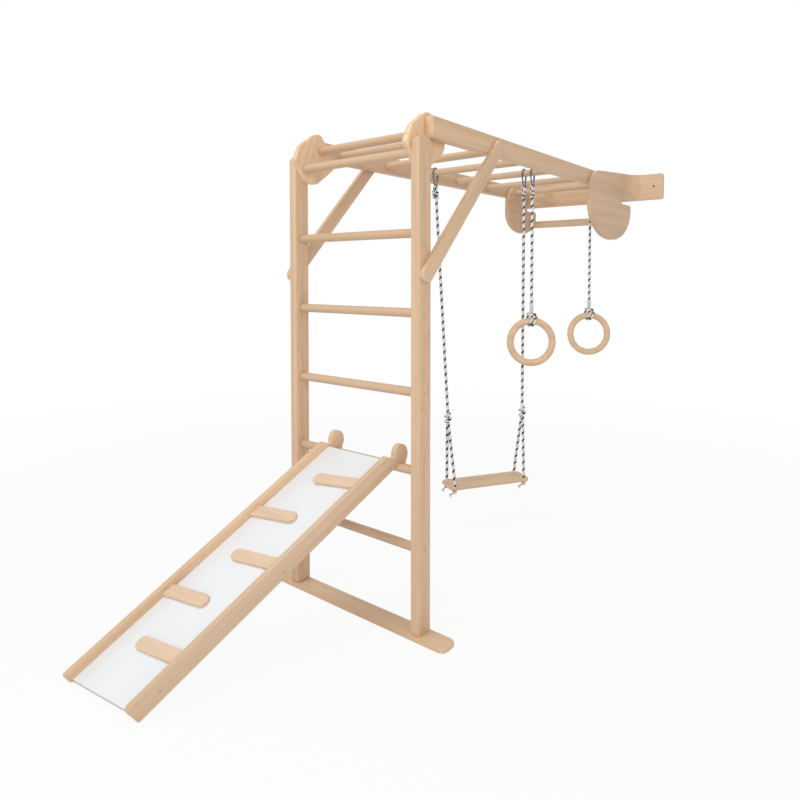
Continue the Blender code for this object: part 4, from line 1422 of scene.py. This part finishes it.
class WALLBARS_OT_fasteners(PieceOperator, bpy.types.Operator):
    """Set the screw plugs, brace bolts and wall screws"""
    bl_idname = "wallbars.fasteners"
    bl_label = "Screws and plugs"

    rail_plugs = ((-0.7695, 0.068), (-0.4138, 0.3106), (-0.042, 0.5717))
    wall_screws = ((-0.430, 1.7439), (0.4673, 1.7439))

    def execute(self, context):
        sizes = context.scene.fastenings
        plug = self.head("plug_head", sizes.plug_radius, (
            (0.0, -0.002), (1.0, -0.002), (1.0, 0.00005), (0.86, 0.00035), (0.0, 0.0005)), 24)
        outer = OUTER_FACE + GAP + BRACE_THICK
        post_spots = []
        brace_spots = []
        for sign in (-1.0, 1.0):
            way = (sign, 0.0, 0.0)
            post_spots += [((sign * OUTER_FACE, 0.0, z), way) for z in LADDER_RUNGS[0:3:2]]
            brace_spots += [((sign * outer, y, z), way) for y, z in BRACE_ENDS]
        rail_spots = []
        for y, z in self.rail_plugs:
            rail_spots += [((SLIDE_RIGHT + SKEW * y, y, z), (1.0, -SKEW, 0.0)),
                           ((SLIDE_LEFT + SKEW * y, y, z), (-1.0, SKEW, 0.0))]
        self.place("post_plugs", post_spots, plug, "frame",
                   birch("plug_birch", X_AXIS, (0.1, 0.02, 0.3), -0.22), "birch")
        self.place("slide_plugs", rail_spots, plug, "slide",
                   birch("slide_plug_birch", X_AXIS, (0.4, 0.09, 0.1), -0.22), "birch")
        bolt = self.bolt_head(sizes.bolt_radius)
        self.place("brace_bolts", brace_spots, bolt, "frame",
                   once(steel, "zinc_steel", (0.62, 0.60, 0.57), 0.28), "steel")
        # The wall screws' dark brown steel is partly painted shade: it darkens them so that they
        # read as screws sunk in shaded holes.
        self.place("wall_screws", [((x, RAIL_THIN, z), (0.0, -1.0, 0.0))
                                   for x, z in self.wall_screws], bolt, "frame",
                   once(steel, "blackened_steel", (0.16, 0.10, 0.06), 0.40), "steel", 0.9)
        remove(plug, bolt)
        return {"FINISHED"}

    def head(self, name, radius, profile, sides):
        """A low head whose profile is given in shares of its radius and in heights."""
        return lathe(name, [(radius * share, height) for share, height in profile], Vector(),
                     Z_AXIS, sides)

    def bolt_head(self, radius):
        """A low button head with a six-sided socket."""
        head = self.head("bolt_head", radius, (
            (0.0, -0.001), (1.0, -0.001), (1.0, 0.0004), (0.86, 0.0013), (0.5, 0.0018),
            (0.0, 0.0019)), 28)
        socket = plate("bolt_socket", arc((0.0, 0.0), radius * 0.42, 0.0, 300.0, 5), "Z",
                       0.0006, 0.004)
        made = settled(carve(head, socket), 30.0)
        remove(socket)
        return made

    def place(self, name, spots, head, body, material, slot, size=1.0):
        item = dots(name, [spot for spot, way in spots])
        ways = item.data.attributes.new("way", "FLOAT_VECTOR", "POINT")
        for row, (spot, way) in zip(ways.data, spots):
            row.vector = Vector(way).normalized()
        grown(item, fastener_tree, "set_fasteners", head=head, size=size, seed=7,
              material=material)
        fit(item, body, material, slot)


class WALLBARS_OT_stage(PieceOperator, bpy.types.Operator):
    """Lay the pale floor, light the studio and set the view transform"""
    bl_idname = "wallbars.stage"
    bl_label = "Floor and light"

    def execute(self, context):
        studio = context.scene.studio_light
        context.scene.view_settings.view_transform = "Standard"
        self.floor(studio)
        self.sky(context.scene, studio)
        for name, place, aim, size, power, colour in (
                ("key_lamp", (-1.2, -2.6, 5.2), (0.0, 0.5, 0.7), 2.6, studio.key,
                 (0.93, 0.99, 1.0)),
                ("front_lamp", (2.6, -3.6, 2.4), (0.0, 0.5, 0.8), 2.2, studio.front,
                 (1.0, 0.97, 0.93)),
                ("fill_lamp", (4.2, -0.6, 2.4), (0.0, 0.8, 0.8), 2.4, studio.fill,
                 (1.0, 0.95, 0.86))):
            data = bpy.data.lights.new(name, "AREA")
            data.energy, data.color, data.shape, data.size = power, colour, "DISK", size
            lamp = in_scene(name, data)
            lamp.location = place
            way = Vector(aim) - lamp.location
            lamp.rotation_euler = way.to_track_quat("-Z", "Y").to_euler()
        return {"FINISHED"}

    def seen(self, tree):
        """1 for what the camera sees, straight, in a gloss or through something clear."""
        path = add_node(tree, "ShaderNodeLightPath").outputs
        return (Number(path["Is Camera Ray"]) + path["Is Glossy Ray"]
                + path["Is Transmission Ray"]).sum("MINIMUM", 1.0)

    def floor(self, studio):
        """A matt floor that keeps the shadow and goes over to plain white far away."""
        floor = plate("studio_floor", oblong((-14.0, -14.0), (16.0, 14.0)), "Z", -0.02, -0.0004)
        material, tree, shader = new_material("floor_paint")
        fill(shader, {"Base Color": tuple(studio.floor), "Roughness": 0.9,
                      "Specular IOR Level": 0.0})
        glow = add_node(tree, "ShaderNodeEmission", {"Color": WHITE, "Strength": 1.0})
        away = add_node(tree, "ShaderNodeVectorMath", {0: own_place(tree)}, operation="LENGTH")
        far = remap(tree, away.outputs["Value"], 1.6, 5.0, 0.90, 1.0)
        mix = add_node(tree, "ShaderNodeMixShader", {0: self.seen(tree) * far,
                                                     1: shader.outputs[0], 2: glow.outputs[0]})
        fill(tree.nodes["Material Output"], {"Surface": mix.outputs[0]})
        floor.data.materials.append(material)

    def sky(self, scene, studio):
        """Even light from all round that looks white behind the object."""
        scene.world = bpy.data.worlds.new("studio_sky")
        scene.world.use_nodes = True
        tree = scene.world.node_tree
        fill(tree.nodes["Background"], {
            "Color": WHITE, "Strength": remap(tree, self.seen(tree), 0.0, 1.0, studio.sky, 1.0)})


PIECES = (
    WALLBARS_OT_camera, WALLBARS_OT_swing, WALLBARS_OT_rings, WALLBARS_OT_ladder,
    WALLBARS_OT_cheeks, WALLBARS_OT_overhead, WALLBARS_OT_braces, WALLBARS_OT_wall_end,
    WALLBARS_OT_slide, WALLBARS_OT_fasteners, WALLBARS_OT_stage,
)
GROUPS = (
    ("birch_finish", BirchFinish), ("timber_sizes", TimberSizes), ("rope_lay", RopeLay),
    ("fastenings", Fastenings), ("studio_light", StudioLight),
)


class WALLBARS_PT_sidebar(bpy.types.Panel):
    """Lists the pieces and their sizes"""
    bl_label = "Wall Bars"
    bl_idname = "WALLBARS_PT_sidebar"
    bl_space_type = "VIEW_3D"
    bl_region_type = "UI"
    bl_category = "Wall Bars"

    def draw(self, context):
        layout = self.layout
        for piece in PIECES:
            layout.operator(piece.bl_idname)
        for name, group in GROUPS:
            box = layout.box()
            box.label(text=group.__doc__)
            settings = getattr(context.scene, name)
            for field in group.__annotations__:
                box.prop(settings, field)


def register():
    for name, group in GROUPS:
        bpy.utils.register_class(group)
        setattr(bpy.types.Scene, name, bpy.props.PointerProperty(type=group))
    for piece in PIECES:
        bpy.utils.register_class(piece)
    bpy.utils.register_class(WALLBARS_PT_sidebar)


def unregister():
    bpy.utils.unregister_class(WALLBARS_PT_sidebar)
    for piece in reversed(PIECES):
        bpy.utils.unregister_class(piece)
    for name, group in reversed(GROUPS):
        delattr(bpy.types.Scene, name)
        bpy.utils.unregister_class(group)


def main():
    register()
    for piece in PIECES:
        group, call = piece.bl_idname.split(".")
        getattr(getattr(bpy.ops, group), call)()


if __name__ == "__main__":
    main()
